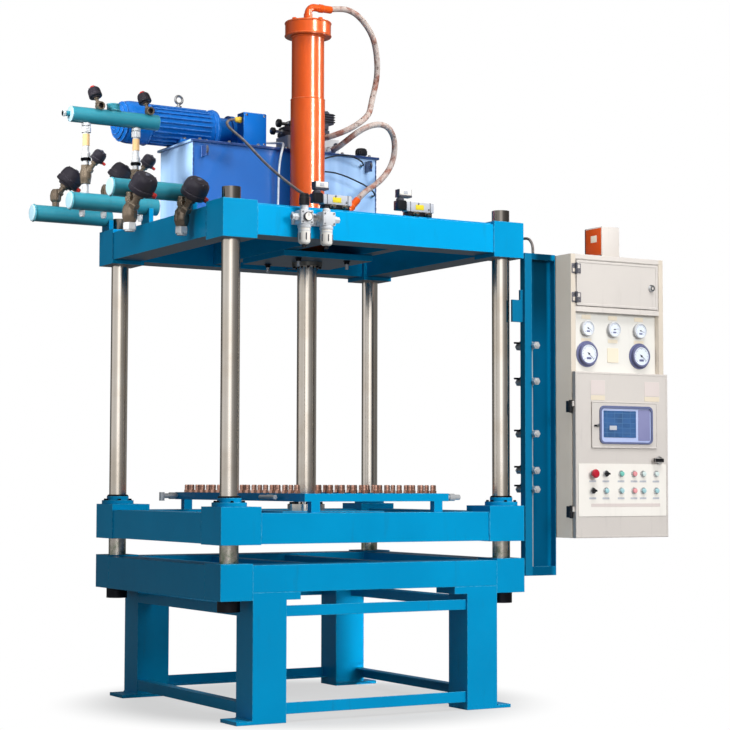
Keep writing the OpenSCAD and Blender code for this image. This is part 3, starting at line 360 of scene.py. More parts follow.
mirrored = bands(t, ((0.0, 0.10), (0.085, 0.07), (0.16, 0.7), (0.27, 0.62), (0.35, 0.72), (0.405, 1.5),
                     (0.45, 1.3), (0.50, 0.42), (0.58, 0.22), (0.72, 0.13), (0.80, 0.25), (1.0, 0.10)))
scattered = bands(t, ((0.0, 0.24), (0.15, 0.19), (0.30, 0.15), (0.42, 0.25), (0.55, 0.7), (0.72, 0.55),
                      (0.85, 0.3), (1.0, 0.24)))
rays = t.nodes.new("ShaderNodeLightPath").outputs
seen = math_node(t, "MAXIMUM", rays["Is Camera Ray"], rays["Is Transmission Ray"])
around = mix(t, rays["Is Glossy Ray"], scattered, mirrored)
around = mix(t, seen, around, (1, 1, 1, 1))
surround = add(t, "Background", Color=around, Strength=1.0)
t.links.new(surround.outputs[0], t.nodes.new("ShaderNodeOutputWorld").inputs[0])


def soft_light(name, place, target, size, power, height=0.0):
    """A disc aimed at a target that no gloss mirrors, or, with a height, a strip that gloss mirrors."""
    light = bpy.data.objects.new(name, bpy.data.lights.new(name, "AREA"))
    light.data.shape = "RECTANGLE" if height else "DISK"
    light.data.size = size
    light.data.size_y = height or size
    light.data.energy = power
    light.location = place
    light.rotation_euler = (Vector(target) - Vector(place)).to_track_quat("-Z", "Y").to_euler()
    light.visible_glossy = height > 0
    scene.collection.objects.link(light)
    return light


soft_light("key", (1.6, -6.6, 3.4), (0.2, 0, 1.5), 2.4, 256)
soft_light("top", (0.4, -3.0, 6.2), (0.2, 0, 1.4), 2.6, 195)

CORNERS = [(sx, sy) for sx in (-1, 1) for sy in (-1, 1)]
floor_mesh = bpy.data.meshes.new("floor")
floor_mesh.from_pydata([(sx * FLOOR_HALF, sy * FLOOR_HALF, 0) for sx, sy in CORNERS], [], [(0, 2, 3, 1)])
floor = bpy.data.objects.new("floor", floor_mesh)
floor.location.z = -0.001
scene.collection.objects.link(floor)
floor_pale = material("floor_pale")
t = floor_pale.node_tree
flat = add(t, "VectorMath", Vector=t.nodes.new("ShaderNodeNewGeometry").outputs["Position"])
flat.operation = "LENGTH"
bright = times(t, ramp(t, flat.outputs["Value"], SHADE_FROM, SHADE_TO, 0.6, 1.0),
               t.nodes.new("ShaderNodeLightPath").outputs["Is Camera Ray"])
grain = mix(t, ramp(t, noise(t, position(t), 6.0), 0.3, 0.7), (0.36, 0.36, 0.36, 1), (0.32, 0.32, 0.32, 1))
ground = add(t, "BsdfPrincipled", Base_Color=grain, Roughness=0.9)
white_out = add(t, "Emission", Color=(1, 1, 1, 1), Strength=1.0)
both = add(t, "MixShader", Fac=bright)
t.links.new(ground.outputs[0], both.inputs[1])
t.links.new(white_out.outputs[0], both.inputs[2])
t.links.new(both.outputs[0], t.nodes.new("ShaderNodeOutputMaterial").inputs[0])
floor_mesh.materials.append(floor_pale)

# Welded frame: plates and box sections in turquoise paint, sprayed in one go over corner blocks, beams,
# legs and rails, with weld beads in the corners, a light orange peel, thin dust and paler worn edges that
# also stand in as painted edge highlights. Painted shade darkens the undersides, and the top long beams get a
# brighter copy of the paint as painted light.
HALF_X, HALF_Y = 0.710, 0.615
FOOT_T, LEG_IN, LEG_OUT, LEG_BACK = 0.014, 0.422, 0.570, 0.475
BEAD_R, BEAD_STEP, BEAD_SIDES = 0.004, 0.007, 6
FRAME_GLOSS = (0.05, 0.45, 0.9, 1)
finish = {}


def surface_group(name, inputs, masks):
    """An empty shader node group, with values going in and masks and a normal coming out."""
    g = bpy.data.node_groups.new(name, "ShaderNodeTree")
    for label in inputs:
        g.interface.new_socket(label, in_out="INPUT", socket_type="NodeSocketFloat")
    for label in masks:
        g.interface.new_socket(label, in_out="OUTPUT", socket_type="NodeSocketFloat")
    g.interface.new_socket("Normal", in_out="OUTPUT", socket_type="NodeSocketVector")
    return g, g.nodes.new("NodeGroupInput").outputs, g.nodes.new("NodeGroupOutput").inputs


def stretched(tree, scale):
    """The object's own coordinates, drawn out along an axis for streaks."""
    return add(tree, "Mapping", Vector=position(tree), Scale=scale).outputs[0]


def paint_group():
    """Worn edges that also carry painted edge highlights, dust on upward faces, blotches, runs of grime,
    painted shade on undersides and a normal of rounded edges.
    """
    g, given, out = surface_group("paint_wear", ("Edge", "Peel"),
                                  ("Wear", "Dust", "Blotch", "Grime", "Under"))
    where = position(g)
    plain = g.nodes.new("ShaderNodeNewGeometry").outputs["Normal"]
    round_edge = add(g, "Bevel", Radius=given["Edge"])
    round_edge.samples = 4
    bent = add(g, "VectorMath")
    bent.operation = "DOT_PRODUCT"
    g.links.new(round_edge.outputs[0], bent.inputs[0])
    g.links.new(plain, bent.inputs[1])
    edge = ramp(g, bent.outputs["Value"], 0.995, 0.93)
    facing_up = axes(g, plain)[2]
    masks = {
        # Worn edges, which also stand in as painted edge highlights.
        "Wear": times(g, edge, ramp(g, noise(g, where, 55.0, 4.0, 0.7), 0.36, 0.6)),
        "Dust": times(g, ramp(g, facing_up, 0.5, 1.0), ramp(g, noise(g, where, 7.0, 5.0, 0.65), 0.35, 0.75)),
        "Blotch": ramp(g, noise(g, where, 2.6, 4.0, 0.55), 0.3, 0.7),
        "Grime": ramp(g, noise(g, stretched(g, (9.0, 9.0, 1.4)), 3.0, 5.0, 0.62), 0.58, 0.78),
        # Painted shade on downward faces.
        "Under": ramp(g, facing_up, -0.5, -0.95)}
    for label, mask in masks.items():
        g.links.new(mask, out[label])
    peel = add(g, "Bump", Height=noise(g, where, 230.0, 2.0, 0.5), Strength=given["Peel"], Distance=0.001,
               Normal=round_edge.outputs[0])
    g.links.new(peel.outputs[0], out["Normal"])
    return g


paint_wear = paint_group()


def worn(tree, edge, peel):
    """The masks and the normal of the paint's wear, placed in a material with its own values."""
    g = tree.nodes.new("ShaderNodeGroup")
    g.node_tree = paint_wear
    g.inputs["Edge"].default_value = edge
    g.inputs["Peel"].default_value = peel
    return g.outputs


def paint(key, slot, colours, rough=0.3, coat=0.2, edge=0.002, peel=0.05, shine=0.3, dirt=0.18,
          gloss=(1, 1, 1, 1), under_shade=0.0, metal=0.0):
    """A paint or plastic: colours are those of the coat, its blotches, its worn edges, which also stand in as
    painted edge highlights, and its dust; the share given for undersides darkens downward faces with painted
    shade.
    """
    m = material(key + "_paint")
    tree = m.node_tree
    masks = worn(tree, edge, peel)
    base, shade, bare_and_lit, dusty = (rgb(code) for code in colours.split())
    colour = mix(tree, masks["Blotch"], base, shade)
    # The worn colour on edges also stands in as painted edge highlights; downward faces are mixed towards
    # near black blue as painted shade.
    for mask, share, other in (("Grime", dirt, rgb("2B2A28")), ("Dust", 0.4, dusty), ("Wear", 0.6, bare_and_lit),
                               ("Under", under_shade, rgb("02161F"))):
        colour = mix(tree, times(tree, masks[mask], share), colour, other)
    dull = math_node(tree, "MULTIPLY_ADD", masks["Dust"], 0.25, rough)
    finish_material(m, Base_Color=colour, Roughness=dull, Metallic=metal, Normal=masks["Normal"],
                    Specular_IOR_Level=shine, Specular_Tint=gloss, Coat_Weight=coat,
                    Coat_Roughness=rough * 0.5, Coat_Normal=masks["Normal"])
    finish[key] = (m, slot)


def dress(key, *names):
    """Gives a finish to solids of the frame."""
    for name in names:
        solid = node[name]
        solid.data.materials.clear()
        solid.data.materials.append(finish[key][0])
        finish[key][1]


class Kit(dict):
    """The meshes of one group of pieces, one for each finish, started when first asked for."""

    def __missing__(self, key):
        self[key] = bmesh.new()
        return self[key]

    def put(self, group, body, *replaced):
        for key, bm in self.items():
            bmesh.ops.recalc_face_normals(bm, faces=bm.faces)
            for f in bm.faces:
                f.smooth = True
            mesh = bpy.data.meshes.new(f"{group}_{key}")
            bm.to_mesh(mesh)
            bm.free()
            mesh.set_sharp_from_angle(angle=math.radians(32))
            mesh.materials.append(finish[key][0])
            obj = bpy.data.objects.new(mesh.name, mesh)
            scene.collection.objects.link(obj)
            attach(obj, body)
            finish[key][1]
            if replaced:
                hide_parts(*replaced)


def bead(bm, a, b, radius=BEAD_R):
    """A weld bead: a thin ridge of uneven width."""
    a, run = Vector(a), Vector(b) - Vector(a)
    u = run.orthogonal().normalized()
    w = run.normalized().cross(u)
    steps = max(6, int(run.length / BEAD_STEP))
    rows = []
    for i in range(steps + 1):
        r = radius * (1 + 0.2 * math.sin(2.1 * i) + 0.12 * math.sin(5.3 * i + 1))
        rows.append([bm.verts.new(a + run * (i / steps) + p * u + q * w) for p, q in circle(BEAD_SIDES, r)])
    for low, high in zip(rows, rows[1:]):
        for k in range(BEAD_SIDES):
            n = (k + 1) % BEAD_SIDES
            bm.faces.new((low[k], low[n], high[n], high[k]))


# The second paint is a brighter copy for the top long beams: painted light for the stronger light that falls
# on the top of the frame.
for key, colours in (("frame", "0096CC 008EC3 6CCDEB 3FA3C4"), ("frame_top_lit", "00A4DE 009CD6 74D4F2 3FA3C4")):
    paint(key, "frame_blue", colours, 0.34, 0.12, 0.004, 0.1, 0.2, 0.14, FRAME_GLOSS, 0.85)
dress("frame_top_lit", "top_long_beams")
dress("frame", "top_corner_blocks", "front_legs", "back_legs", "floor_rails", "upper_rails",
      "bed_corner_blocks", "bed_long_beams", "bed_cross_beams", "top_cross_beams", "top_deck",
      "cylinder_mount_plate", "platen_corner_blocks", "platen_long_beams", "platen_cross_beams", "rod_plate",
      "manifold_long_tubes", "manifold_side_tubes", "pipe_saddles", "guide_bushings")
welds, platen_welds = Kit(), Kit()
EDGE_IN = 0.003
for kit, inset, low, high in ((welds, 0.150, 1.901, 2.016), (welds, 0.140, 0.490, 0.602),
                              (platen_welds, 0.175, 0.716, 0.810)):
    for sx, sy in CORNERS:
        x, y = sx * (HALF_X - inset), sy * (HALF_Y - inset)
        bead(kit["frame"], (x, sy * (HALF_Y - EDGE_IN), low), (x, sy * (HALF_Y - EDGE_IN), high))
        bead(kit["frame"], (sx * (HALF_X - EDGE_IN), y, low), (sx * (HALF_X - EDGE_IN), y, high))
for sx, sy in CORNERS:
    heel = (sx * LEG_OUT, sy * LEG_BACK, FOOT_T)
    bead(welds["frame"], (sx * LEG_OUT, sy * HALF_Y, FOOT_T), heel)
    bead(welds["frame"], (sx * LEG_IN, sy * LEG_BACK, FOOT_T), heel)
welds.put("weld_beads", "machine")
platen_welds.put("platen_weld_beads", "platen")

# Guide columns and piston rod: ground and hard chromed steel, with an oil film that has gone brown, green
# grease below the platen and dark ends above the deck. Flanges are held by blackened hexagon bolts.
UP, DOWN, LEFT, RIGHT, FRONT, BACK = (0, 0, 1), (0, 0, -1), (-1, 0, 0), (1, 0, 0), (0, -1, 0), (0, 1, 0)
COL_X, COL_Y, PLATEN_TOP, FLANGE_T = 0.640, 0.545, 0.837, 0.016
GUIDE_BOLTS_R, ROD_BOLTS_R, GLAND_BOLTS_R = 0.0585, 0.064, 0.056
ROD_FLANGE_TOP, MOUNT_BOLT_X, MOUNT_BOLT_Y = 0.840, 0.118, 0.140


def oil_group():
    """Patches of oil on bare metal, and a normal with the fine rings that a lathe leaves."""
    g, given, out = surface_group("oil_film", ("Streak",), ("Oil",))
    g.links.new(ramp(g, noise(g, position(g), 11.0, 4.0, 0.6), 0.4, 0.75), out["Oil"])
    rings = noise(g, stretched(g, (3.0, 3.0, 140.0)), 6.0, 2.0)
    g.links.new(ridges(g, rings, given["Streak"], 0.0004), out["Normal"])
    return g


oil_film = oil_group()


def steel(key, slot, base, rough, tint, streak):
    m = material(key + "_metal")
    tree = m.node_tree
    film = tree.nodes.new("ShaderNodeGroup")
    film.node_tree = oil_film
    film.inputs["Streak"].default_value = streak
    oil = film.outputs["Oil"]
    dull = math_node(tree, "MULTIPLY_ADD", oil, 0.12, rough)
    finish_material(m, Base_Color=mix(tree, times(tree, oil, 0.5), rgb(base), rgb(tint)), Metallic=1.0,
                    Roughness=dull, Normal=film.outputs["Normal"])
    finish[key] = (m, slot)


def lathe(bm, outline, place, axis=UP, sides=32, closed=False):
    """A turned shape: points of radius and height along the axis, spun round it."""
    spin = Vector(axis).to_track_quat("Z", "Y").to_matrix()
    rows = []
    for r, h in outline:
        ring = circle(sides, r) if r > 0 else [(0, 0)]
        rows.append([bm.verts.new(Vector(place) + spin @ Vector((u, w, h))) for u, w in ring])
    if closed:
        rows.append(rows[0])
    for end in (rows[0], rows[-1]):
        if len(end) > 1 and not closed:
            bm.faces.new(end)
    for low, high in zip(rows, rows[1:]):
        for k in range(sides):
            n = k + 1
            corners = (low[k % len(low)], low[n % len(low)], high[n % len(high)], high[k % len(high)])
            bm.faces.new(list(dict.fromkeys(corners)))


def bolt(bm, place, axis, size):
    """A hexagon head on its washer."""
    lathe(bm, [(size, 0), (size, size * 0.16)], place, axis, 18)
    head = [(size * 0.8, size * 0.16), (size * 0.8, size * 0.75), (size * 0.66, size * 0.86)]
    lathe(bm, head, place, axis, 6)


chrome = material("column_chrome")
t = chrome.node_tree
height = axes(t, position(t))[2]
grease = times(t, ramp(t, height, 0.74, 0.60), ramp(t, noise(t, position(t), 26.0, 5.0, 0.7), 0.35, 0.6))
film = ramp(t, noise(t, position(t), 5.0, 3.0), 0.35, 0.75)
colour = mix(t, times(t, film, 0.5), rgb("EAE2D8"), rgb("D2C0A8"))
colour = mix(t, grease, colour, rgb("6E8264"))
colour = mix(t, ramp(t, height, 2.030, 2.040, 0.0, 0.75), colour, rgb("4E4943"))
dull = math_node(t, "ADD", math_node(t, "MULTIPLY_ADD", film, 0.05, 0.13), times(t, grease, 0.25))
turned = noise(t, stretched(t, (1.0, 1.0, 180.0)), 5.0, 2.0)
finish_material(chrome, Base_Color=colour, Metallic=1.0, Roughness=dull,
                Normal=ridges(t, turned, 0.05, 0.0004))
finish["chrome"] = (chrome, "column_chrome")
dress("chrome", "guide_columns", "piston_rod")
steel("blackened", "dark_castings", "2A2B30", 0.42, "14151A", 0.1)
dress("blackened", "column_nuts")
steel("turned", "plain_steel", "8B8A86", 0.3, "5F5A52", 0.1)
dress("turned", "cylinder_gland")
steel("zinc", "bright_steel", "D2D4D7", 0.26, "A39E94", 0.06)
guide = Kit()
wiper = [(0.0385, 0), (0.0455, 0), (0.0455, 0.004), (0.0405, 0.007), (0.0385, 0.007)]
for sx, sy in CORNERS:
    x, y = sx * COL_X, sy * COL_Y
    for dx, dy in circle(6, GUIDE_BOLTS_R, 0.24):
        bolt(guide["blackened"], (x + dx, y + dy, PLATEN_TOP + FLANGE_T), UP, 0.0085)
    lathe(guide["blackened"], wiper, (x, y, PLATEN_TOP + 0.034), sides=40, closed=True)
for x, y in circle(8, ROD_BOLTS_R, 0.5):
    bolt(guide["blackened"], (x, y, ROD_FLANGE_TOP), UP, 0.011)
guide.put("guide_bolts", "platen")
under_deck = Kit()
gland_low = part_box("cylinder_gland")[0].z
plate_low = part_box("cylinder_mount_plate")[0].z
for x, y in circle(8, GLAND_BOLTS_R, 0.5):
    bolt(under_deck["blackened"], (x, y, gland_low), DOWN, 0.0085)
for sx, sy in CORNERS:
    place = (sx * MOUNT_BOLT_X, sy * MOUNT_BOLT_Y, plate_low)
    bolt(under_deck["blackened"], place, DOWN, 0.016)
    lathe(under_deck["zinc"], [(0.008, 0.012), (0.008, 0.034), (0.006, 0.036)], place, DOWN, 14)
under_deck.put("gland_bolts", "machine")

# Cylinder: steel tube with a welded sleeve, cap flange and port, in glossy orange paint. The hose ends are
# crimped into sleeves that were painted over with the cylinder.
SLEEVE_TOP, TUBE_TOP, TUBE_R, FLANGE_R, CAP_SCREWS_R = 2.593, 2.870, 0.0725, 0.099, 0.080


def hoop(bm, radius, thick, place, axis=UP, sides=28):
    """A round ring."""
    lathe(bm, [(radius + u, w) for u, w in circle(8, thick)], place, axis, sides, True)


paint("orange", "cylinder_orange", "D45212 CA480E F2A070 D98A5A", coat=0.5, edge=0.003, peel=0.03, dirt=0.1,
      gloss=(1, 0.55, 0.25, 1))
dress("orange", "cylinder_barrel", "cylinder_cap")
trim = Kit()
for radius, thick, z, sides in ((TUBE_R, 0.0035, SLEEVE_TOP, 56), (TUBE_R, 0.0045, TUBE_TOP - 0.002, 56),
                                (FLANGE_R, 0.004, CAP - 0.005, 64), (FLANGE_R, 0.004, TUBE_TOP + 0.005, 64),
                                (0.0195, 0.004, CAP + 0.002, 28)):
    hoop(trim["orange"], radius, thick, (0, 0, z), UP, sides)
socket_screw = [(0.010, 0), (0.010, 0.009), (0.008, 0.011), (0.005, 0.011), (0.005, 0.006), (0, 0.006)]
for x, y in circle(8, CAP_SCREWS_R, 0.3):
    lathe(trim["orange"], socket_screw, (x, y, CAP), sides=18)
crimp = [(0.0165, -0.012), (0.0185, -0.010), (0.0185, 0.008), (0.0162, 0.011), (0.0162, 0.048),
         (0.0150, 0.052), (0.0134, 0.052)]
lathe(trim["orange"], crimp, ELBOW, RIGHT, 24)
lathe(trim["orange"], crimp, PORT_TIP, PORT_DIR, 24)
trim.put("cylinder_trim", "machine")

# Hydraulic unit: welded sheet tank with an overhanging lid, foot motor with fan cowl, bell housing and pump
# in glossy cobalt paint. The junction box has a screwed cover and a yellow gland.
TANK_X, TANK_BACK = (-0.505, 0.400), 0.422
MOTOR_X, MOTOR_Y, MOTOR_Z, MOTOR_R, COWL_L = (-0.620, -0.320), 0.332, 2.482, 0.088, 0.146
BELL_X, BELL_BOLTS_R, EYE_X = MOTOR_X[1] + 0.116, 0.064, -0.462
BOX_X, BOX_Y, BOX_Z, COVER_T = (-0.245, -0.139), TANK_Y + 0.038, (LID, LID + 0.150), 0.006
UNIT_GLOSS = (0.3, 0.6, 1, 1)


def block(bm, low, high, soft=0.0015):
    """A box with rounded edges."""
    made = bmesh.ops.create_cube(bm, size=1.0)["verts"]
    for v in made:
        v.co = [a + (b - a) * (c + 0.5) for a, b, c in zip(low, high, v.co)]
    edges = list({e for v in made for e in v.link_edges})
    bmesh.ops.bevel(bm, geom=edges, offset=soft, segments=2, profile=0.5, affect="EDGES")


paint("cobalt", "unit_blue", "0C60B0 0A58A4 6C9BDA 4E82C0", 0.24, 0.4, 0.004, 0.06, dirt=0.12,
      gloss=UNIT_GLOSS)
dress("cobalt", "pump_motor", "motor_cowl", "pump_housing")
paint("box_blue", "unit_blue", "075EAE 0656A2 7FB2EA 4E92D8", 0.32, 0.15, 0.003, 0.04, dirt=0.08,
      gloss=UNIT_GLOSS)
dress("box_blue", "junction_box")
tank_blue = material("tank_cobalt_paint")
t = tank_blue.node_tree
masks = worn(t, 0.004, 0.05)
facing = axes(t, t.nodes.new("ShaderNodeNewGeometry").outputs["Normal"])
spot = axes(t, position(t))
# Painted reflection: pale blue streaks on the front to the right of the middle and on the left side stand in
# for bright reflections in the gloss.
reflection_streaks = noise(t, stretched(t, (5.0, 5.0, 0.7)), 1.6, 3.0)
painted_reflection_front = times(t, ramp(t, spot[0], 0.0, 0.14), ramp(t, reflection_streaks, 0.25, 0.6, 0.5, 1.0))
painted_reflection_front = times(t, painted_reflection_front, ramp(t, facing[1], -0.5, -0.9, 0.0, 0.95))
painted_reflection_left = times(t, ramp(t, facing[0], -0.5, -0.9), ramp(t, reflection_streaks, 0.2, 0.6, 0.55, 0.9))
colour = mix(t, masks["Blotch"], rgb("2060AC"), rgb("1B58A0"))
colour = mix(t, math_node(t, "MAXIMUM", painted_reflection_front, painted_reflection_left), colour, rgb("B2D5FA"))
# Painted shade: everything standing out in front of the tank's front face, such as the lugs under the lid, is
# drawn dark blue.
colour = mix(t, ramp(t, spot[1], TANK_Y - 0.0005, TANK_Y - 0.0025), colour, rgb("20386A"))
colour = mix(t, times(t, masks["Wear"], 0.6), colour, rgb("6C9BDA"))
finish_material(tank_blue, Base_Color=colour, Roughness=0.2, Normal=masks["Normal"], Coat_Weight=0.7,
                Coat_Roughness=0.08)
finish["tank"] = (tank_blue, "unit_blue")
dress("tank", "oil_tank")
paint("block", "bright_steel", "DADBDC CACCCE F4F4F4 BDBAB4")
dress("block", "valve_block")
paint("casting", "dark_castings", "4A4B55 3E3F48 8A8A90 6A665F", 0.42, peel=0.1)
paint("brass", "nipple_brass", "D8B23A C29A2C F2DC8A B39A5A", edge=0.001)

unit = Kit()
for r_share, l_share in ((0.92, 0.79), (0.80, 0.885), (0.62, 0.945), (0.42, 0.982), (0.2, 0.992)):
    hoop(unit["cobalt"], r_share * (MOTOR_R + 0.004), 0.0025,
         (MOTOR_X[0] - l_share * COWL_L, MOTOR_Y, MOTOR_Z), RIGHT, 40)
hoop(unit["cobalt"], MOTOR_R + 0.004, 0.003, (MOTOR_X[0] - 0.004, MOTOR_Y, MOTOR_Z), RIGHT, 48)
hoop(unit["cobalt"], MOTOR_R + 0.001, 0.004, (MOTOR_X[1] + 0.011, MOTOR_Y, MOTOR_Z), RIGHT, 48)
lathe(unit["zinc"], [(0.013, -0.004), (0.013, 0.006), (0.007, 0.008), (0.007, 0.016)],
      (EYE_X, MOTOR_Y, MOTOR_Z + MOTOR_R), sides=18)
hoop(unit["zinc"], 0.017, 0.0055, (EYE_X, MOTOR_Y, MOTOR_Z + MOTOR_R + 0.034), BACK)
for x in (EYE_X, -0.359):
    for dy in (-0.060, 0.060):
        bolt(unit["zinc"], (x, MOTOR_Y + dy, MOTOR_Z - MOTOR_R + 0.026), UP, 0.012)
for dy, dz in circle(6, BELL_BOLTS_R, 0.5):
    bolt(unit["zinc"], (BELL_X, MOTOR_Y + dy, MOTOR_Z + dz), RIGHT, 0.008)
for k in range(7):
    for y in (TANK_Y - 0.003, TANK_BACK + 0.003):
        bolt(unit["zinc"], (TANK_X[0] + 0.03 + k * 0.140, y, LID), UP, 0.009)
for x in (TANK_X[0] + 0.046, TANK_X[1] - 0.050):
    hoop(unit["casting"], 0.015, 0.005, (x, TANK_Y - 0.033, LID - 0.046), RIGHT, 24)
for x in TANK_X:
    bead(unit["tank"], (x, TANK_Y, DECK), (x, TANK_Y, LID - 0.012), 0.0035)
for corner in ((TANK_X[1], TANK_Y), (TANK_X[0], TANK_BACK)):
    bead(unit["tank"], (TANK_X[0], TANK_Y, DECK + 0.001), (*corner, DECK + 0.001))
block(unit["box_blue"], (BOX_X[0] - 0.002, BOX_Y - COVER_T, BOX_Z[0] + 0.004),
      (BOX_X[1] + 0.002, BOX_Y, BOX_Z[1] - 0.002), 0.002)
for x in (BOX_X[0] + 0.010, BOX_X[1] - 0.010):
    for z in (BOX_Z[0] + 0.014, BOX_Z[1] - 0.012):
        lathe(unit["zinc"], [(0.005, 0), (0.005, 0.002), (0.003, 0.003), (0, 0.003)], (x, BOX_Y - COVER_T, z),
              FRONT, 14)
gland_at = (BOX_X[0], TANK_Y + 0.068, LID + 0.118)
lathe(unit["brass"], [(0.015, 0), (0.015, 0.010), (0.013, 0.012)], gland_at, LEFT, 6)
lathe(unit["brass"], [(0.0125, 0.012), (0.0125, 0.020), (0.0100, 0.026), (0.0064, 0.028)], gland_at, LEFT, 20)
lathe(unit["zinc"], [(0.010, 0), (0.010, 0.010), (0.0056, 0.014)], (BOX_X[1], TANK_Y + 0.068, LID + 0.030),
      RIGHT, 6)
for x, z in ((0.108, -0.036), (0.318, -0.046), (0.108, -0.092), (0.376, -0.178)):
    lathe(unit["zinc"], [(0.008, 0), (0.008, 0.008), (0.0045, 0.011)], (x, TANK_Y, LID + z), FRONT, 6)
for x, z in ((0.130, 0.064), (0.196, 0.022)):
    place = (x, BLOCK_Y, LID + z)
    lathe(unit["zinc"], [(0.021, 0), (0.021, 0.018), (0.018, 0.020)], place, FRONT, 6)
    lathe(unit["zinc"], [(0.0165, 0.020), (0.0165, 0.048), (0.0134, 0.050)], place, FRONT, 22)
for x, z in ((0.030, 0.030), (0.075, 0.024), (0.235, 0.052)):
    lathe(unit["casting"], [(0.011, 0), (0.011, 0.006), (0.006, 0.007), (0.006, 0.002), (0, 0.002)],
          (x, BLOCK_Y, LID + z), FRONT, 20)
unit.put("unit_trim", "machine")

# Hydraulic valves: cast bodies stacked on the bright valve block with black seals between them, held down by
# socket screws. A ribbed coil stands at the right, and two black plastic knobs at the left set the pressure.
VALVE_Y, BLOCK_TOP, STACK_TOP, COIL_TOP, KNOB_Y = (0.187, 0.257), 2.468, 2.540, 2.590, 0.217
paint("black", "black_plastic", "1B1B20 131316 4A4A50 4C4842", 0.36, 0.3, peel=0.06)
valves = Kit()
for x0, x1, z0, z1 in ((-0.014, 0.222, 0.0, 0.020), (-0.008, 0.216, 0.023, 0.043),
                       (0.022, 0.212, 0.046, 0.072)):
    block(valves["casting"], (x0, VALVE_Y[0], BLOCK_TOP + z0), (x1, VALVE_Y[1], BLOCK_TOP + z1), 0.003)
    block(valves["black"], (x0 + 0.006, VALVE_Y[0] + 0.004, BLOCK_TOP + z1 - 0.002),
          (x1 - 0.006, VALVE_Y[1] - 0.004, BLOCK_TOP + z1 + 0.003), 0.001)
block(valves["casting"], (0.190, VALVE_Y[0] + 0.004, STACK_TOP), (0.242, VALVE_Y[1] - 0.004, COIL_TOP), 0.004)
for k in range(4):
    z = STACK_TOP + 0.008 + 0.011 * k
    block(valves["black"], (0.187, VALVE_Y[0], z), (0.245, VALVE_Y[1], z + 0.005), 0.001)
lathe(valves["casting"], [(0.016, 0), (0.016, 0.008), (0.010, 0.011), (0.010, 0.014), (0, 0.014)],
      (0.216, 0.222, COIL_TOP), sides=20)
for x in (0.040, 0.170):
    for y in (VALVE_Y[0] + 0.012, VALVE_Y[1] - 0.012):
        lathe(valves["zinc"], [(0.006, 0), (0.006, 0.006), (0.003, 0.006), (0.003, 0.002), (0, 0.002)],
              (x, y, STACK_TOP), sides=16)
stem = [(0.013, -0.004), (0.013, 0.014), (0.008, 0.016), (0.008, 0.068)]
knob = [(0.012, 0.046), (0.018, 0.049), (0.019, 0.053), (0.019, 0.062), (0.015, 0.066), (0, 0.067)]
for x, z, share in ((0.030, 0.058, 1.0), (0.0, 0.020, 0.88)):
    place = (x, KNOB_Y, BLOCK_TOP + z)
    lathe(valves["zinc"], [(r * share, h) for r, h in stem], place, LEFT, 6)
    lathe(valves["black"], [(r * share, h) for r, h in knob], place, LEFT, 16)
valves.put("valve_stack", "machine", "hydraulic_valves")

# Tank breather: a black plastic filler cap with grip ribs, screwed on a zinc plated hexagon neck in the
# tank's lid.
BREATHER_R, RIB_HALF = 0.0258, 0.0014
breather = Kit()
low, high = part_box("tank_breather")
middle = Vector(((low.x + high.x) / 2, (low.y + high.y) / 2, LID))
lathe(breather["zinc"], [(0.021, 0), (0.021, 0.004), (0.017, 0.005), (0.017, 0.016)], middle, sides=6)
lathe(breather["black"], [(0.020, 0.014), (0.025, 0.016), (0.026, 0.020), (0.026, 0.036), (0.024, 0.043),
                          (0.018, 0.047), (0, 0.048)], middle, sides=36)
for dx, dy in circle(18, BREATHER_R):
    x, y = middle.x + dx, middle.y + dy
    block(breather["black"], (x - RIB_HALF, y - RIB_HALF, LID + 0.019),
          (x + RIB_HALF, y + RIB_HALF, LID + 0.036), 0.0004)
breather.put("breather", "machine", "tank_breather")

# Steam and water pipes: welded pipes in teal paint with bright end caps, joined by risers of zinc plated pipe
# that are sealed with yellowed tape. Short hexagon nipples are screwed in under the middle pipe.
PIPE_X0, PIPE_Y, PIPE_Z, PIPE_R = -1.045, (-0.295, 0.130, 0.555), 2.090, 0.036
UPPER_Z, UPPER_R, DROP_X, BOSS_X = 2.450, 0.033, (-0.976, -0.752), -0.856
paint("teal", "pipe_green", "2A7C8C 257282 86C2CC 5E9CA6", 0.28, 0.4, 0.003, 0.06, dirt=0.2)
dress("teal", "supply_pipes", "upper_pipe")
paint("disc", "pipe_green", "94B0BC 86A4B0 EAF4F4 9AB0B2", 0.32, 0.3, peel=0.04)
paint("galvanised", "bright_steel", "D2D4D6 B8BBBE F4F4F4 A8A49A", shine=0.6, dirt=0.4, metal=0.4)
dress("galvanised", "riser_pipes", "manifold_fittings")
paint("tape", "valve_bronze", "C8A87C B6946A E6D3A0 A89468", 0.6, 0.0, 0.001, 0.3)
pipes = Kit()
for y in PIPE_Y:
    lathe(pipes["disc"], [(PIPE_R, 0), (PIPE_R, 0.003), (0.032, 0.006), (0, 0.008)], (PIPE_X0, y, PIPE_Z),
          LEFT, 40)
    hoop(pipes["teal"], PIPE_R, 0.003, (PIPE_X0 + 0.004, y, PIPE_Z), RIGHT, 40)
upper_end = (PIPE_X0, PIPE_Y[1], UPPER_Z)
lathe(pipes["disc"], [(UPPER_R, 0), (UPPER_R, 0.003), (0.029, 0.005), (0.012, 0.006)], upper_end, LEFT, 40)
lathe(pipes["galvanised"], [(0.014, 0.024), (0.014, 0.034), (0.012, 0.036)], upper_end, LEFT, 6)
for radius, rise in ((0.029, -0.001), (0.0265, 0.024)):
    hoop(pipes["teal"], radius, 0.003, (BOSS_X, PIPE_Y[1], UPPER_Z + UPPER_R + rise), UP, 32)
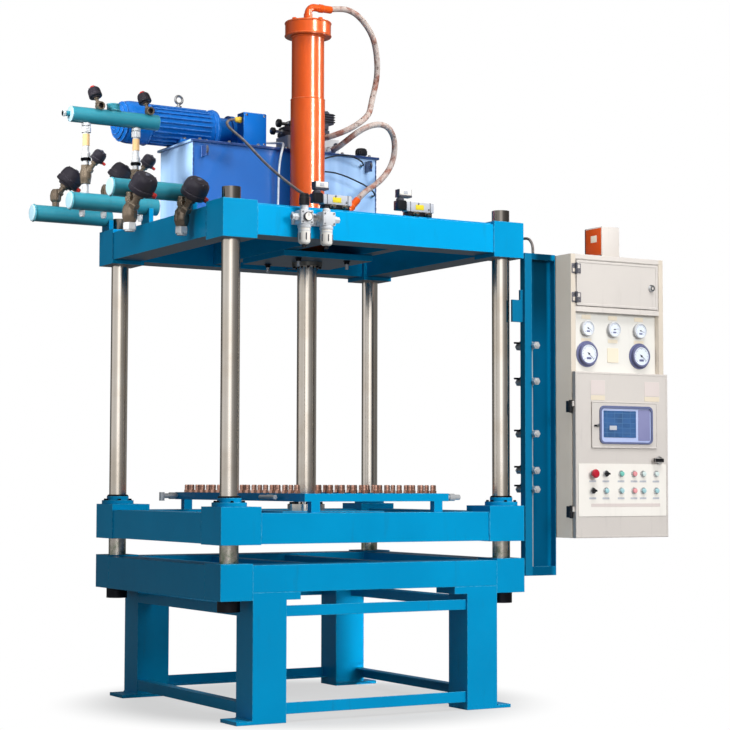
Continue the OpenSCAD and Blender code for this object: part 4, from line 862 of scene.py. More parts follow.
RISER = (("tape", [(0.0134, -0.128), (0.0148, -0.126), (0.0148, -0.080), (0.0134, -0.078)], 24),
         ("galvanised", [(0.021, -0.072), (0.021, -0.050), (0.018, -0.047)], 6),
         ("galvanised", [(0.019, -0.044), (0.019, -0.033)], 24),
         ("blackened", [(0.0195, -0.190), (0.0215, -0.188), (0.0215, -0.180), (0.0195, -0.178)], 28),
         ("galvanised", [(0.018, -0.176), (0.018, -0.158), (0.0135, -0.152)], 24))
for x in DROP_X:
    for key, outline, sides in RISER:
        lathe(pipes[key], outline, (x, PIPE_Y[1], UPPER_Z), sides=sides)
for x in (-0.990, -0.895, -0.730):
    place = (x, PIPE_Y[1], PIPE_Z - PIPE_R)
    lathe(pipes["galvanised"], [(0.0135, 0.002), (0.0135, 0.020), (0.012, 0.022)], place, DOWN, 6)
    lathe(pipes["galvanised"], [(0.010, 0.020), (0.010, 0.028), (0.007, 0.028), (0.007, 0.010)], place,
          DOWN, 18)
pipes.put("pipe_trim", "machine")

# Seat valves: bronze bodies screwed into the pipes, with a slanting neck and an air driven head under a black
# plastic dome. Red caps sit on the heads' air ports or on their tops.
BIG, SMALL = {"r": 0.053, "h": 0.084}, {"r": 0.029, "h": 0.052}
DOME = ((0, 0), (0.6, 0), (0.66, 0.08), (0.97, 0.12), (1, 0.16), (1, 0.34), (0.95, 0.37), (0.95, 0.42),
        (0.98, 0.45), (0.97, 0.6), (0.945, 0.73), (0.88, 0.85), (0.77, 0.93), (0.62, 0.975), (0.58, 0.968),
        (0.4, 1), (0, 1))
PORT_SIDE = Vector((0.75, -0.45, -0.5))
paint("bronze", "valve_bronze", "8C7D6B 5E5145 D8CAB4 54483C", 0.25, 0.3, 0.003, 0.12, 0.8, 0.6, metal=0.7)
paint("dome", "black_plastic", "221F27 1A181E 5A545C 5C5654", 0.46, 0.25)
paint("red", "signal_orange", "A8231E 961C18 D98078 8A5650", 0.34, 0.4, 0.001, 0.04)
seats = Kit()


def actuator(foot, axis, neck, neck_r, r, h, cap_on_top=False):
    """Neck, domed head and red cap of a seat valve, along the axis of its spindle."""
    axis = Vector(axis).normalized()
    hexagon = [(1.3, 0.34), (1.3, 0.5), (1.15, 0.54)]
    shank = [(0.95, 0), (1, 0.3), (0.8, 0.6), (0.8, 0.8), (1.25, 0.86), (1.25, 1)]
    for outline, sides in ((hexagon, 6), (shank, 24)):
        lathe(seats["bronze"], [(neck_r * a, neck * b) for a, b in outline], foot, axis, sides)
    head = Vector(foot) + neck * axis
    top = head + h * axis
    lathe(seats["dome"], [(a * r, b * h) for a, b in DOME], head, axis, 44)
    if cap_on_top:
        cap = [(0.5 * r, -0.002), (0.5 * r, 0.004), (0.36 * r, 0.008), (0, 0.009)]
        lathe(seats["red"], cap, top, axis, 24)
    else:
        across = (PORT_SIDE - axis * PORT_SIDE.dot(axis)).normalized()
        scale = r / BIG["r"]
        cap = [(0, -0.004), (0.011, -0.004), (0.011, 0.009), (0.0085, 0.013), (0, 0.014)]
        lathe(seats["red"], [(a * scale, b) for a, b in cap], head + 0.25 * h * axis + r * across, across, 18)
        lathe(seats["casting"], [(0.2 * r, 0), (0.2 * r, 0.003), (0.14 * r, 0.005), (0, 0.005)], top, axis, 6)
    u = axis.orthogonal().normalized()
    for p, q in circle(4, 0.72 * r, 0.5):
        lathe(seats["casting"], [(0.05 * r, 0), (0.05 * r, 0.003), (0, 0.0035)],
              head + 0.93 * h * axis + p * u + q * axis.cross(u), axis, 12)


def slope(around_z, tilt=38):
    """The direction of a slanting spindle."""
    a, b = math.radians(around_z), math.radians(tilt)
    return (math.sin(b) * math.cos(a), math.sin(b) * math.sin(a), math.cos(b))


for x in DROP_X:
    foot = (x, -0.329, 1.984)
    lathe(seats["galvanised"], [(0.027, -0.064), (0.027, -0.040), (0.024, -0.036)], foot, sides=6)
    lathe(seats["galvanised"], [(0.020, -0.070), (0.020, -0.064)], foot, sides=24)
    lathe(seats["bronze"], [(0.019, -0.037), (0.025, -0.031), (0.030, -0.014), (0.0305, 0.008),
                            (0.027, 0.027), (0.020, 0.037), (0.0165, 0.042), (0.0165, 0.084)], foot)
    lathe(seats["bronze"], [(0.021, 0.048), (0.021, 0.066), (0.019, 0.068)], foot, sides=6)
    actuator(foot, slope(-75), 0.094, 0.019, **BIG)
    foot = (x, PIPE_Y[1], 2.197)
    lathe(seats["bronze"], [(0.017, -0.033), (0.021, -0.026), (0.024, -0.004), (0.024, 0.016), (0.021, 0.026),
                            (0.017, 0.045)], foot, sides=28)
    for h in (-0.033, 0.030):
        lathe(seats["bronze"], [(0.0215, h), (0.0215, h + 0.013), (0.020, h + 0.015)], foot, sides=6)
    actuator(foot, slope(-52), 0.072, 0.012, **SMALL)
    foot = Vector((x + 0.050, 0.089, UPPER_Z + UPPER_R + 0.008))
    lathe(seats["bronze"], [(0.011, 0.014), (0.011, 0), (0.0165, 0), (0.018, 0.004), (0.018, 0.012),
                            (0.015, 0.015), (0.015, 0.034), (0.010, 0.035)], foot, BACK, 28)
    lathe(seats["black"], [(0.0112, 0.013), (0.0112, 0.016)], foot, BACK, 20)
    actuator(foot + 0.027 * Vector(BACK), (-0.161, 0.375, 0.913), 0.040, 0.009, 0.028, 0.048, True)
for x, z, post in ((-0.941, 2.166, 0.042), (-0.705, 2.206, 0.082)):
    foot = (x, PIPE_Y[2], z)
    lathe(seats["bronze"], [(0.015, -post), (0.015, -0.024), (0.023, -0.014), (0.025, 0.006), (0.021, 0.024),
                            (0.014, 0.034), (0, 0.036)], foot, sides=28)
    actuator(foot, slope(-23), 0.062, 0.016, **BIG)
seats.put("seat_valves", "machine", "valve_bodies", "valve_actuators")

# Air preparation: two die cast bodies with white bowls, screwed side by side to a plate on the front beam.
# The left one is the regulator, with a black knob and a small dial.
AIR_X, AIR_Y, BEAM_TOP, PLATE_Y = (-0.372, -0.272), -0.652, 2.018, (-0.620, -0.612)
BODY_HALF, BODY_FRONT, PORT_Z = 0.028, AIR_Y - 0.026, BEAM_TOP - 0.044
SLOT_R, SLOT_HALF = 0.0242, 0.0022
paint("silver", "cast_silver", "D3D6DA C6C9CE F2F2F2 B8B4AC", 0.28, 0.3)
paint("white", "overlay_white", "EEEAE3 E8E4DD FFFFFF CFC8BE", 0.34, edge=0.001, peel=0.03, dirt=0.06)
air = Kit()
block(air["silver"], (AIR_X[0] - 0.038, PLATE_Y[0], BEAM_TOP - 0.070),
      (AIR_X[1] + 0.037, PLATE_Y[1], BEAM_TOP - 0.020), 0.002)
BOWL = (("silver", [(0.026, 0.064), (0.027, 0.066), (0.027, 0.076), (0.025, 0.080)], 36),
        ("white", [(0.008, 0.0), (0.016, 0.001), (0.022, 0.006), (0.0245, 0.014), (0.0245, 0.064)], 36),
        ("silver", [(0.0249, 0.052), (0.0249, 0.056)], 36),
        ("black", [(0.005, -0.012), (0.009, -0.011), (0.009, -0.003), (0.006, 0)], 16))
for x in AIR_X:
    block(air["silver"], (x - BODY_HALF, BODY_FRONT, BEAM_TOP - 0.072),
          (x + BODY_HALF, PLATE_Y[0], BEAM_TOP - 0.016), 0.004)
    for key, outline, sides in BOWL:
        lathe(air[key], outline, (x, AIR_Y, BEAM_TOP - 0.150), sides=sides)
    for dx, dy in circle(6, SLOT_R, 0.36):
        block(air["casting"], (x + dx - SLOT_HALF, AIR_Y + dy - SLOT_HALF, BEAM_TOP - 0.134),
              (x + dx + SLOT_HALF, AIR_Y + dy + SLOT_HALF, BEAM_TOP - 0.106), 0.0006)
    for dx in (-0.020, 0.020):
        for dz in (-0.064, -0.024):
            lathe(air["zinc"], [(0.0035, 0), (0.0035, 0.002), (0, 0.002)],
                  (x + dx, BODY_FRONT, BEAM_TOP + dz), FRONT, 10)
regulator, lubricator = ((x, AIR_Y, BEAM_TOP) for x in AIR_X)
lathe(air["silver"], [(0.0165, -0.016), (0.0165, 0.006)], regulator, sides=28)
lathe(air["black"], [(0.017, 0.004), (0.021, 0.008), (0.021, 0.034), (0.0195, 0.036), (0.0195, 0.046),
                     (0.016, 0.051), (0, 0.052)], regulator, sides=22)
lathe(air["silver"], [(0.016, -0.016), (0.016, -0.006), (0.012, -0.002), (0.012, 0)], lubricator, sides=28)
lathe(air["black"], [(0.009, -0.002), (0.009, 0.004), (0.006, 0.008), (0, 0.009)], lubricator, sides=20)
port = [(0.015, 0), (0.015, 0.016), (0.013, 0.018), (0.013, 0.028), (0.009, 0.030), (0.009, 0.016)]
lathe(air["silver"], port, (AIR_X[0] - BODY_HALF, AIR_Y, PORT_Z), LEFT, 6)
lathe(air["silver"], port, (AIR_X[1] + BODY_HALF, AIR_Y, PORT_Z), RIGHT, 6)
union = [(0.015, 0), (0.015, 0.014), (0.011, 0.016), (0.011, 0.028), (0.015, 0.030), (0.015, 0.044)]
lathe(air["zinc"], union, (AIR_X[0] + BODY_HALF, AIR_Y, PORT_Z), RIGHT, 6)
dial_at = Vector((AIR_X[0], BODY_FRONT, BEAM_TOP - 0.043))
lathe(air["black"], [(0.008, 0), (0.008, 0.003), (0.018, 0.004), (0.018, 0.012), (0.0158, 0.013),
                     (0.0158, 0.0115)], dial_at, FRONT, 30)
lathe(air["white"], [(0.0157, 0.0100), (0.0157, 0.0118)], dial_at, FRONT, 30)
block(air["black"], dial_at + Vector((-0.0008, -0.0126, 0)), dial_at + Vector((0.0008, -0.0118, 0.011)),
      0.0002)
air.put("air_unit", "machine", "air_service_unit")

# Solenoid valves on the deck: grey die cast bodies on black bases, with a black coil and a white cable plug
# at the left end and bronze silencers in front.
SOL_X, SOL_Y = (-0.178, 0.216), (-0.579, -0.537)
SOL_MIDDLE = (SOL_Y[0] + SOL_Y[1]) / 2
paint("valve_grey", "cast_silver", "C2C5CC B6B9C1 E8E8E8 A8A49C", 0.34)
paint("yellow", "overlay_white", "E8D43A DCC62E FFF2A0 B8A860", 0.4, 0.1, 0.001, 0.02)
SOL_BLOCKS = (("black", (-0.060, 0.055), (-0.002, 0.002), (0, 0.022), 0.002),
              ("valve_grey", (-0.066, 0.066), (0, 0), (0.022, 0.062), 0.003),
              ("casting", (-0.050, -0.047), (-0.0008, 0.0008), (0.022, 0.0628), 0.0005),
              ("casting", (0.046, 0.049), (-0.0008, 0.0008), (0.022, 0.0628), 0.0005),
              ("yellow", (-0.024, 0.016), (-0.001, -0.042), (0.031, 0.052), 0.0004),
              ("black", (-0.106, -0.068), (0, 0), (0.026, 0.066), 0.003),
              ("casting", (-0.101, -0.039), (0.004, -0.004), (0.080, 0.088), 0.001),
              ("white", (-0.099, -0.041), (0.004, -0.006), (0.088, 0.112), 0.003),
              ("casting", (-0.101, -0.098), (0.005, -0.005), (0.087, 0.1125), 0.0008),
              ("casting", (-0.043, -0.040), (0.005, -0.005), (0.087, 0.1125), 0.0008),
              ("valve_grey", (-0.080, -0.060), (0.0032, -0.037), (0.093, 0.107), 0.0004))
silencer = [(0.009, 0), (0.009, 0.006), (0.006, 0.008), (0.008, 0.010), (0.008, 0.024), (0.005, 0.028),
            (0, 0.029)]
solenoids = Kit()
for x in SOL_X:
    for key, along, inset, rise, soft in SOL_BLOCKS:
        low, high = ((x + along[i], SOL_Y[i] + inset[i], DECK + rise[i]) for i in (0, 1))
        block(solenoids[key], low, high, soft)
    lathe(solenoids["casting"], [(0.017, 0), (0.017, 0.008), (0.013, 0.010), (0.013, 0.018)],
          (x - 0.087, SOL_MIDDLE, DECK + 0.066), sides=28)
    for dx in (-0.030, 0.026):
        lathe(solenoids["bronze"], silencer, (x + dx, SOL_Y[0] - 0.002, DECK + 0.012), FRONT, 20)
    for dx, dz in ((0.040, 0.034), (-0.010, 0.056)):
        lathe(solenoids["zinc"], [(0.004, 0), (0.004, 0.002), (0, 0.002)], (x + dx, SOL_Y[0], DECK + dz),
              FRONT, 12)
solenoids.put("solenoid_valves", "machine", "pneumatic_valves")

# Pipe trunk at the right: folded channel in the frame's paint, with painted shade that makes it darker inside
# and darkest high up inside, with a bright upright pipe and five taps that reach through its back.
TAP_X, TRUNK_LOW, TAP_Z = 0.764, 0.542, (0.905, 0.985, 1.140, 1.362, 1.515)
trunk_shaded = material("trunk_paint")
t = trunk_shaded.node_tree
masks = worn(t, 0.003, 0.08)
spot = axes(t, position(t))
# Painted shade: the lip at the left is drawn lighter, the inside darker, the inside high up darkest, and the
# right wall lighter again.
shade_high_inside = times(t, ramp(t, spot[2], 1.45, 1.75), ramp(t, spot[0], 0.760, 0.790))
colour = mix(t, ramp(t, spot[0], 0.748, 0.757), rgb("0C7099"), rgb("005277"))
colour = mix(t, shade_high_inside, colour, rgb("003249"))
colour = mix(t, ramp(t, spot[0], 0.845, 0.865), colour, rgb("0078A8"))
colour = mix(t, times(t, masks["Grime"], 0.25), colour, rgb("1C2A30"))
colour = mix(t, times(t, masks["Wear"], 0.6), colour, rgb("58B4D8"))
finish_material(trunk_shaded, Base_Color=colour, Roughness=0.38, Normal=masks["Normal"], Specular_IOR_Level=0.2,
                Specular_Tint=FRAME_GLOSS)
finish["trunk"] = (trunk_shaded, "frame_blue")
dress("trunk", "pipe_trunk")
taps = Kit()
lathe(taps["galvanised"], [(0.008, 0.038), (0.008, 0.985), (0.006, 0.987)], (TAP_X - 0.006, TAP_Y, TRUNK_LOW),
      sides=24)
tee = [(0.0125, -0.016), (0.0125, -0.006), (0.0105, -0.004), (0.0105, 0.004), (0.0125, 0.006),
       (0.0125, 0.016)]
TAP = (([(0.006, -0.001), (0.009, 0), (0.009, 0.150), (0.006, 0.150)], 20),
       ([(0.0165, 0.004), (0.0165, 0.022), (0.014, 0.024)], 6),
       ([(0.0165, 0.104), (0.0165, 0.120), (0.012, 0.122), (0.012, 0.128), (0.0165, 0.130),
         (0.0165, 0.142)], 6))
for z in TAP_Z:
    lathe(taps["galvanised"], tee, (TAP_X - 0.006, TAP_Y, z), sides=20)
    for outline, sides in TAP:
        lathe(taps["galvanised"], outline, (TAP_X, TAP_Y - 0.040, z), BACK, sides)
    block(taps["black"], (TAP_X - 0.034, TAP_Y + 0.080, z + 0.012), (TAP_X + 0.006, TAP_Y + 0.088, z + 0.020),
          0.002)
    lathe(taps["galvanised"], [(0.005, 0), (0.005, 0.022), (0.003, 0.024)], (TAP_X, TAP_Y + 0.084, z),
          sides=14)
taps.put("trunk_taps", "machine", "trunk_pipe")

# Control cabinet: folded sheet in warm grey powder coat, with corner posts, a recessed gauge panel, a small
# upper door and a large lower door.
# The gauge panel gets a paler copy of the cream: painted light that clears the shade in its recess.
for key, colours, dirt in (("cream", "CFC9C3 C9C3BE EAE4DE C2B8AE", 0.1),
                           ("post_cream", "D0C6B8 C8BEB0 EAE4DE C2B8AE", 0.16),
                           ("panel_cream_lit", "E4E2DC DEDCD6 EAE4DE C2B8AE", 0.06)):
    paint(key, "cabinet_cream", colours, 0.42, 0.1, 0.003, 0.2, dirt=dirt)
dress("cream", "cabinet_shelves", "cabinet_back", "upper_door", "lower_door")
dress("post_cream", "cabinet_posts")
dress("panel_cream_lit", "gauge_panel")

# Pressure gauges: three small ones in bright cases and two large ones in grey blue cases with a flange, with
# white dials and black hands, screwed through the panel. Blank labels are stuck beside them.
GAUGE_Y, SMALL_Z, LARGE_Z = -0.696, 1.592, 1.482
SCALE_MARKS, MARKS_PER_STEP, SWEEP = 25, 4, 270
paint("label", "cabinet_cream", "EADFCC E6DAC4 F4EEE0 D8CCB8", 0.5, 0.0, 0.001, 0.02, 0.2, 0.04)
paint("case_blue", "gauge_case", "6C7096 5E6288 B8C0D8 8E94A8", 0.28, 0.6, 0.001, 0.03)
paint("dial", "gauge_case", "E6ECF6 DDE5F2 FFFFFF C8CCD4", 0.3, 0.5, 0.001, 0.0, dirt=0.02)
gauges = Kit()


def prism(bm, points, front, back):
    """A flat piece standing in the cabinet's front plane, from its outline in x and z."""
    loops = [[bm.verts.new((x, y, z)) for x, z in points] for y in (front, back)]
    bm.faces.new(loops[0])
    bm.faces.new(loops[1][::-1])
    for k in range(len(points)):
        n = (k + 1) % len(points)
        bm.faces.new((loops[0][k], loops[1][k], loops[1][n], loops[0][n]))


def rounded(x0, x1, z0, z1, r):
    """Outline of a rectangle with round corners."""
    points = []
    for cx, cz, start in ((x1 - r, z1 - r, 0), (x0 + r, z1 - r, 90), (x0 + r, z0 + r, 180),
                          (x1 - r, z0 + r, 270)):
        for k in range(6):
            a = math.radians(start + 18 * k)
            points.append((cx + r * math.cos(a), cz + r * math.sin(a)))
    return points


def stripe(bm, centre, angle, start, end, wide, taper, front, back):
    """A straight mark or hand on a dial, from one radius to another."""
    u = Vector((math.cos(angle), math.sin(angle)))
    w = wide * Vector((-u.y, u.x))
    near, far = centre + start * u, centre + end * u
    prism(bm, [near - w, far - taper * w, far + taper * w, near + w], front, back)


def gauge(x, z, r, deep, case, sweep):
    """A round case with a dial, its scale, a hand on a boss and a blank plate below the middle."""
    at, centre, face = (x, GAUGE_Y, z), Vector((x, z)), deep * 0.86
    front = GAUGE_Y - face
    lathe(gauges[case], [(r * 0.93, 0), (r * 0.93, deep * 0.35), (r, deep * 0.45), (r, deep * 0.9),
                         (r * 0.96, deep), (r * 0.86, deep), (r * 0.83, deep * 0.8)], at, FRONT, 44)
    lathe(gauges["dial"], [(r * 0.84, deep * 0.5), (r * 0.84, face)], at, FRONT, 44)
    for k in range(SCALE_MARKS):
        angle = math.radians(225 - SWEEP * k / (SCALE_MARKS - 1))
        start = 0.60 if k % MARKS_PER_STEP == 0 else 0.68
        stripe(gauges["black"], centre, angle, start * r, 0.76 * r, 0.012 * r, 1, front - 0.0004, front)
    stripe(gauges["black"], centre, math.radians(sweep), -0.2 * r, 0.64 * r, 0.03 * r, 0.3, front - 0.0012,
           front - 0.0004)
    lathe(gauges["black"], [(0.09 * r, face), (0.09 * r, face + 0.002), (0, face + 0.0025)], at, FRONT, 16)
    prism(gauges["case_blue"], rounded(x - 0.26 * r, x + 0.26 * r, z - 0.5 * r, z - 0.3 * r, 0.04 * r),
          front - 0.0003, front)


for x, sweep in ((0.978, -30), (1.120, 10), (1.262, -20)):
    gauge(x, SMALL_Z, 0.033, 0.018, "silver", sweep)
    for half, low, high in ((0.024, 0.040, 0.058), (0.026, -0.058, -0.043)):
        prism(gauges["label"], rounded(x - half, x + half, SMALL_Z + low, SMALL_Z + high, 0.001),
              GAUGE_Y - 0.001, GAUGE_Y)
for x, sweep in ((0.980, -42), (1.264, -38)):
    lathe(gauges["case_blue"], [(0.056, 0), (0.056, 0.004), (0.050, 0.006)], (x, GAUGE_Y, LARGE_Z), FRONT, 48)
    gauge(x, LARGE_Z, 0.047, 0.020, "case_blue", sweep)
prism(gauges["label"], rounded(1.090, 1.150, LARGE_Z - 0.032, LARGE_Z + 0.030, 0.004), GAUGE_Y - 0.002,
      GAUGE_Y)
gauges.put("gauges", "machine", "pressure_gauges")

# Box on the cabinet's roof: bent sheet, cream in front and orange at the sides, with black edges and a small
# blank label.
PANEL_IN, SIDE_T, EDGE_T = 0.006, 0.001, 0.0014
roof = Kit()
low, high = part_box("signal_box")
block(roof["cream"], low, high, 0.003)
for x in (low.x, high.x):
    block(roof["orange"], (x - SIDE_T, low.y + PANEL_IN, low.z + 0.016),
          (x + SIDE_T, high.y - PANEL_IN, high.z - PANEL_IN), 0.0004)
    block(roof["black"], (x - EDGE_T, low.y + 0.002, low.z + 0.001),
          (x + EDGE_T, high.y - 0.002, low.z + 0.015), 0.0004)
    block(roof["black"], (x - EDGE_T, high.y - 0.008, low.z + 0.012),
          (x + EDGE_T, high.y - 0.002, high.z - 0.002), 0.0004)
block(roof["label"], (low.x - 0.0016, low.y + 0.036, low.z + 0.074),
      (low.x, low.y + 0.078, low.z + 0.104), 0.0003)
roof.put("roof_box", "machine", "signal_box")

# Cabinet doors: folded sheet, the upper one on leaf hinges with a turn lock, the lower one on black pin
# hinges with a swing handle. A cream seal lies in the gap round the upper door.
HINGE_X, HINGE_Y, UPPER_HINGES = 0.903, -0.728, (1.720, 1.843)
DOOR_X, DOOR_PIN, LOWER_HINGES = 0.872, -0.726, (0.811, 1.255)
UPPER_LIP, UPPER_SEAL = (0.909, 1.347, 1.686, 1.879), (0.9032, 1.3528, 1.6802, 1.8848)
LOWER_LIP, DOOR_FRONT = (0.883, 1.375, 0.703, 1.401), -0.747
POST_LEAF_X, POST_LEAF_Y, POST_RIVET_X = (0.882, 0.899), -0.7245, 0.890
DOOR_LEAF_X, DOOR_LEAF_Y, DOOR_RIVET_X = (0.911, 0.930), -0.7255, 0.921
LEAF_BACK, LEAF_HALF, RIVET_RISE, LOCK = -0.7215, 0.021, 0.012, (1.312, -0.722, 1.778)
HANDLE_Y, HANDLE_Z = DOOR_FRONT - 0.012, 1.031
paint("hinge", "dark_castings", "6E6C72 626066 A8A6AA 8A867E", 0.4, edge=0.001, peel=0.04)
for key, colours in (("cream_label", "DED3BF DACEB8 F0E8E4 CEC4BE"),
                     ("plate", "D8CDC9 D4C9C5 F0E8E4 CEC4BE")):
    paint(key, "cabinet_cream", colours, 0.45, 0.1, 0.001, 0.02, dirt=0.03)


def rim(bm, outer, inner, front, back):
    """A flat frame between two outlines with the same number of points."""
    loops = [[bm.verts.new((x, y, z)) for x, z in line] for line, y in
             ((outer, back), (outer, front), (inner, front), (inner, back))]
    for a, b in zip(loops, loops[1:] + loops[:1]):
        for k in range(len(a)):
            n = (k + 1) % len(a)
            bm.faces.new((a[k], a[n], b[n], b[k]))


def even_rim(bm, box, wide, r, front, back):
    """A flat frame of even width inside a box of x0, x1, z0 and z1."""
    x0, x1, z0, z1 = box
    rim(bm, rounded(*box, r), rounded(x0 + wide, x1 - wide, z0 + wide, z1 - wide, r), front, back)


post_side, upper_side, lower_side = Kit(), Kit(), Kit()
knuckles = [(0.0045, -0.024), (0.0062, -0.023), (0.0062, -0.003), (0.005, -0.002), (0.005, 0.002),
            (0.0062, 0.003), (0.0062, 0.023), (0.0045, 0.024)]
rivet = [(0.003, 0), (0.003, 0.001), (0, 0.0014)]
for z in UPPER_HINGES:
    for kit, (x0, x1), y in ((post_side, POST_LEAF_X, POST_LEAF_Y), (upper_side, DOOR_LEAF_X, DOOR_LEAF_Y)):
        block(kit["hinge"], (x0, y, z - LEAF_HALF), (x1, LEAF_BACK, z + LEAF_HALF), 0.001)
    lathe(upper_side["casting"], knuckles, (HINGE_X, HINGE_Y, z), sides=20)
    for rivet_z in (z - RIVET_RISE, z + RIVET_RISE):
        lathe(upper_side["zinc"], rivet, (DOOR_RIVET_X, DOOR_LEAF_Y, rivet_z), FRONT, 10)
        lathe(post_side["zinc"], rivet, (POST_RIVET_X, POST_LEAF_Y, rivet_z), FRONT, 10)
pin = [(0.006, -0.027), (0.008, -0.025), (0.008, -0.001), (0.007, 0), (0.008, 0.001), (0.008, 0.025),
       (0.006, 0.027)]
for z in LOWER_HINGES:
    lathe(lower_side["black"], pin, (DOOR_X, DOOR_PIN, z), sides=22)
    block(post_side["black"], (0.873, -0.715, z - 0.024), (0.879, -0.690, z + 0.024), 0.0015)
lathe(upper_side["zinc"], [(0.016, 0), (0.016, 0.003), (0.0135, 0.005), (0.0135, 0.011), (0.012, 0.012),
                           (0.006, 0.012), (0.005, 0.009), (0, 0.009)], LOCK, FRONT, 30)
even_rim(upper_side["cream"], UPPER_LIP, 0.010, 0.003, -0.7232, -0.7205)
even_rim(post_side["cream"], UPPER_SEAL, 0.003, 0.002, -0.7195, -0.706)
post_side.put("hinge_leaves", "machine")
upper_side.put("upper_door_trim", "upper_cabinet_door")
for x0, x1 in ((0.962, 1.037), (1.250, 1.332)):
    for key, z0, z1 in (("plate", 1.306, 1.368), ("cream_label", 1.284, 1.304)):
        prism(lower_side[key], rounded(x0, x1, z0, z1, 0.002), DOOR_FRONT - 0.0008, DOOR_FRONT)
lathe(lower_side["zinc"], [(0.017, 0), (0.017, 0.004), (0.0145, 0.006), (0.0135, 0.0125), (0.010, 0.0135)],
      (1.327, DOOR_FRONT, HANDLE_Z), FRONT, 28)
block(lower_side["black"], (1.2862, HANDLE_Y - 0.0125, HANDLE_Z - 0.0095),
      (1.3378, HANDLE_Y - 0.001, HANDLE_Z + 0.0095), 0.003)
even_rim(lower_side["cream"], LOWER_LIP, 0.007, 0.003, DOOR_FRONT - 0.0006, DOOR_FRONT + 0.001)
lower_side.put("lower_door_trim", "lower_cabinet_door")

# Operator screen: a sheet frame screwed to the lower door, with a hinged window in a rounded plastic bezel.
# Behind it lie a glowing display with a grid and a lavender key panel.
FRAME_Y, BEZEL_Y, WINDOW = -0.752, -0.758, (0.963, 1.315, 1.081, 1.278)
LATCH_X, LATCH_Z, CELLS_PER_M = 0.993, 1.176, 12.0
paint("bezel", "screen_dark", "6A7296 5E668A 8088B8 5A6088", 0.26, 0.6, peel=0.02, dirt=0.04)
paint("lavender", "screen_dark", "8E90B8 7C7EA8 C8CAE6 A0A0B8", 0.3, 0.5, 0.001, 0.01, dirt=0.02)
paint("pale_blue", "screen_dark", "BBC8EC AEBCE4 E6ECFA C0C4D0", 0.22, 0.7, 0.001, 0.0, dirt=0.0)
display = material("display_glass")
t = display.node_tree
spot = axes(t, position(t))
cells = add(t, "TexBrick", Vector=add(t, "CombineXYZ", X=spot[0], Y=spot[2]).outputs[0], Color1=rgb("365C8C"),
            Color2=rgb("2C4E78"), Mortar=rgb("4C729A"), Scale=CELLS_PER_M, Mortar_Size=0.012)
cells.offset = 0.0
lit = mix(t, ramp(t, noise(t, position(t), 26.0, 3.0), 0.35, 0.7, 0.0, 0.5), cells.outputs["Color"],
          rgb("35629A"))
finish_material(display, Base_Color=lit, Roughness=0.12, Coat_Weight=1.0, Coat_Roughness=0.04,
                Emission_Color=lit, Emission_Strength=0.12)
finish["display"] = (display, "screen_dark")
window = Kit()
prism(window["cream"], rounded(*WINDOW, 0.003), FRAME_Y, DOOR_FRONT)
even_rim(window["cream"], WINDOW, 0.004, 0.003, FRAME_Y - 0.0012, FRAME_Y + 0.001)
rim(window["bezel"], rounded(1.003, 1.288, 1.099, 1.261, 0.022), rounded(1.012, 1.279, 1.107, 1.250, 0.016),
    BEZEL_Y, FRAME_Y + 0.001)
for key, box, r, front, back in (("pale_blue", (1.009, 1.282, 1.105, 1.255), 0.016, -0.0015, 0.001),
                                 ("lavender", (1.210, 1.274, 1.114, 1.247), 0.004, -0.0024, 0),
                                 ("display", (1.024, 1.198, 1.126, 1.240), 0.003, -0.0024, 0),
                                 ("valve_grey", (1.056, 1.094, 1.158, 1.176), 0.002, -0.0027, 0)):
    prism(window[key], rounded(*box, r), FRAME_Y + front, FRAME_Y + back)
lathe(window["zinc"], [(0.007, 0), (0.007, 0.005), (0.005, 0.007), (0, 0.007)], (LATCH_X, FRAME_Y, LATCH_Z),
      FRONT, 18)
block(window["black"], (0.974, FRAME_Y - 0.006, 1.172), (0.991, FRAME_Y - 0.002, 1.179), 0.001)
window.put("operator_screen", "lower_cabinet_door", "screen_unit")

# Operating elements: a white plastic overlay on the lower door, with chromed rings round lit push-buttons,
# two black selectors and a red mushroom button. A blank plate lies under each of them.
PANEL_Y, PANEL = -0.749, (0.895, 1.365, 0.792, 1.014)
BUTTON_X = (0.968, 1.038, 1.119, 1.189, 1.238, 1.309)
ROWS = ((0.972, ("mushroom", "selector", "lens_green", "lens_pink", "lens_pale", "lens_pale")),
        (0.900, ("selector", "lens_cyan", "lens_cyan", "lens_pink", "lens_cyan", "lens_cyan")))
paint("lens_red", "signal_orange", "C01F34 AE1A2C E88090 A05058", 0.26, 0.6, 0.001, 0.02)
for key, colours in (("lens_green", "7CC9BC 6EBBAE C8EAE4 90B8B0"),
                     ("lens_pink", "F0A6AA E6969C FFD8DA D0A0A0"),
                     ("lens_pale", "D9E6E4 CBDCDA FFFFFF C0C8C6"),
                     ("lens_cyan", "A9D2D8 9BC6CE E0F4F6 A8C0C4")):
    paint(key, "overlay_white", colours, 0.2, 0.7, 0.001, 0.02)
ring = [(0.0145, 0), (0.0145, 0.002), (0.0135, 0.005), (0.0112, 0.006), (0.0112, 0.003)]
mushroom = [(0.010, 0.014), (0.017, 0.016), (0.019, 0.020), (0.0185, 0.025), (0.014, 0.030), (0, 0.0315)]
selector = [(0.011, 0.003), (0.011, 0.010), (0.0095, 0.012), (0, 0.012)]
lens = [(0.0108, 0.002), (0.0108, 0.010), (0.0095, 0.0125), (0.005, 0.0135), (0, 0.0137)]
panel = Kit()
prism(panel["white"], rounded(*PANEL, 0.003), PANEL_Y, DOOR_FRONT)
prism(panel["plate"], rounded(0.960, 1.332, 0.832, 0.846, 0.001), PANEL_Y - 0.0004, PANEL_Y)
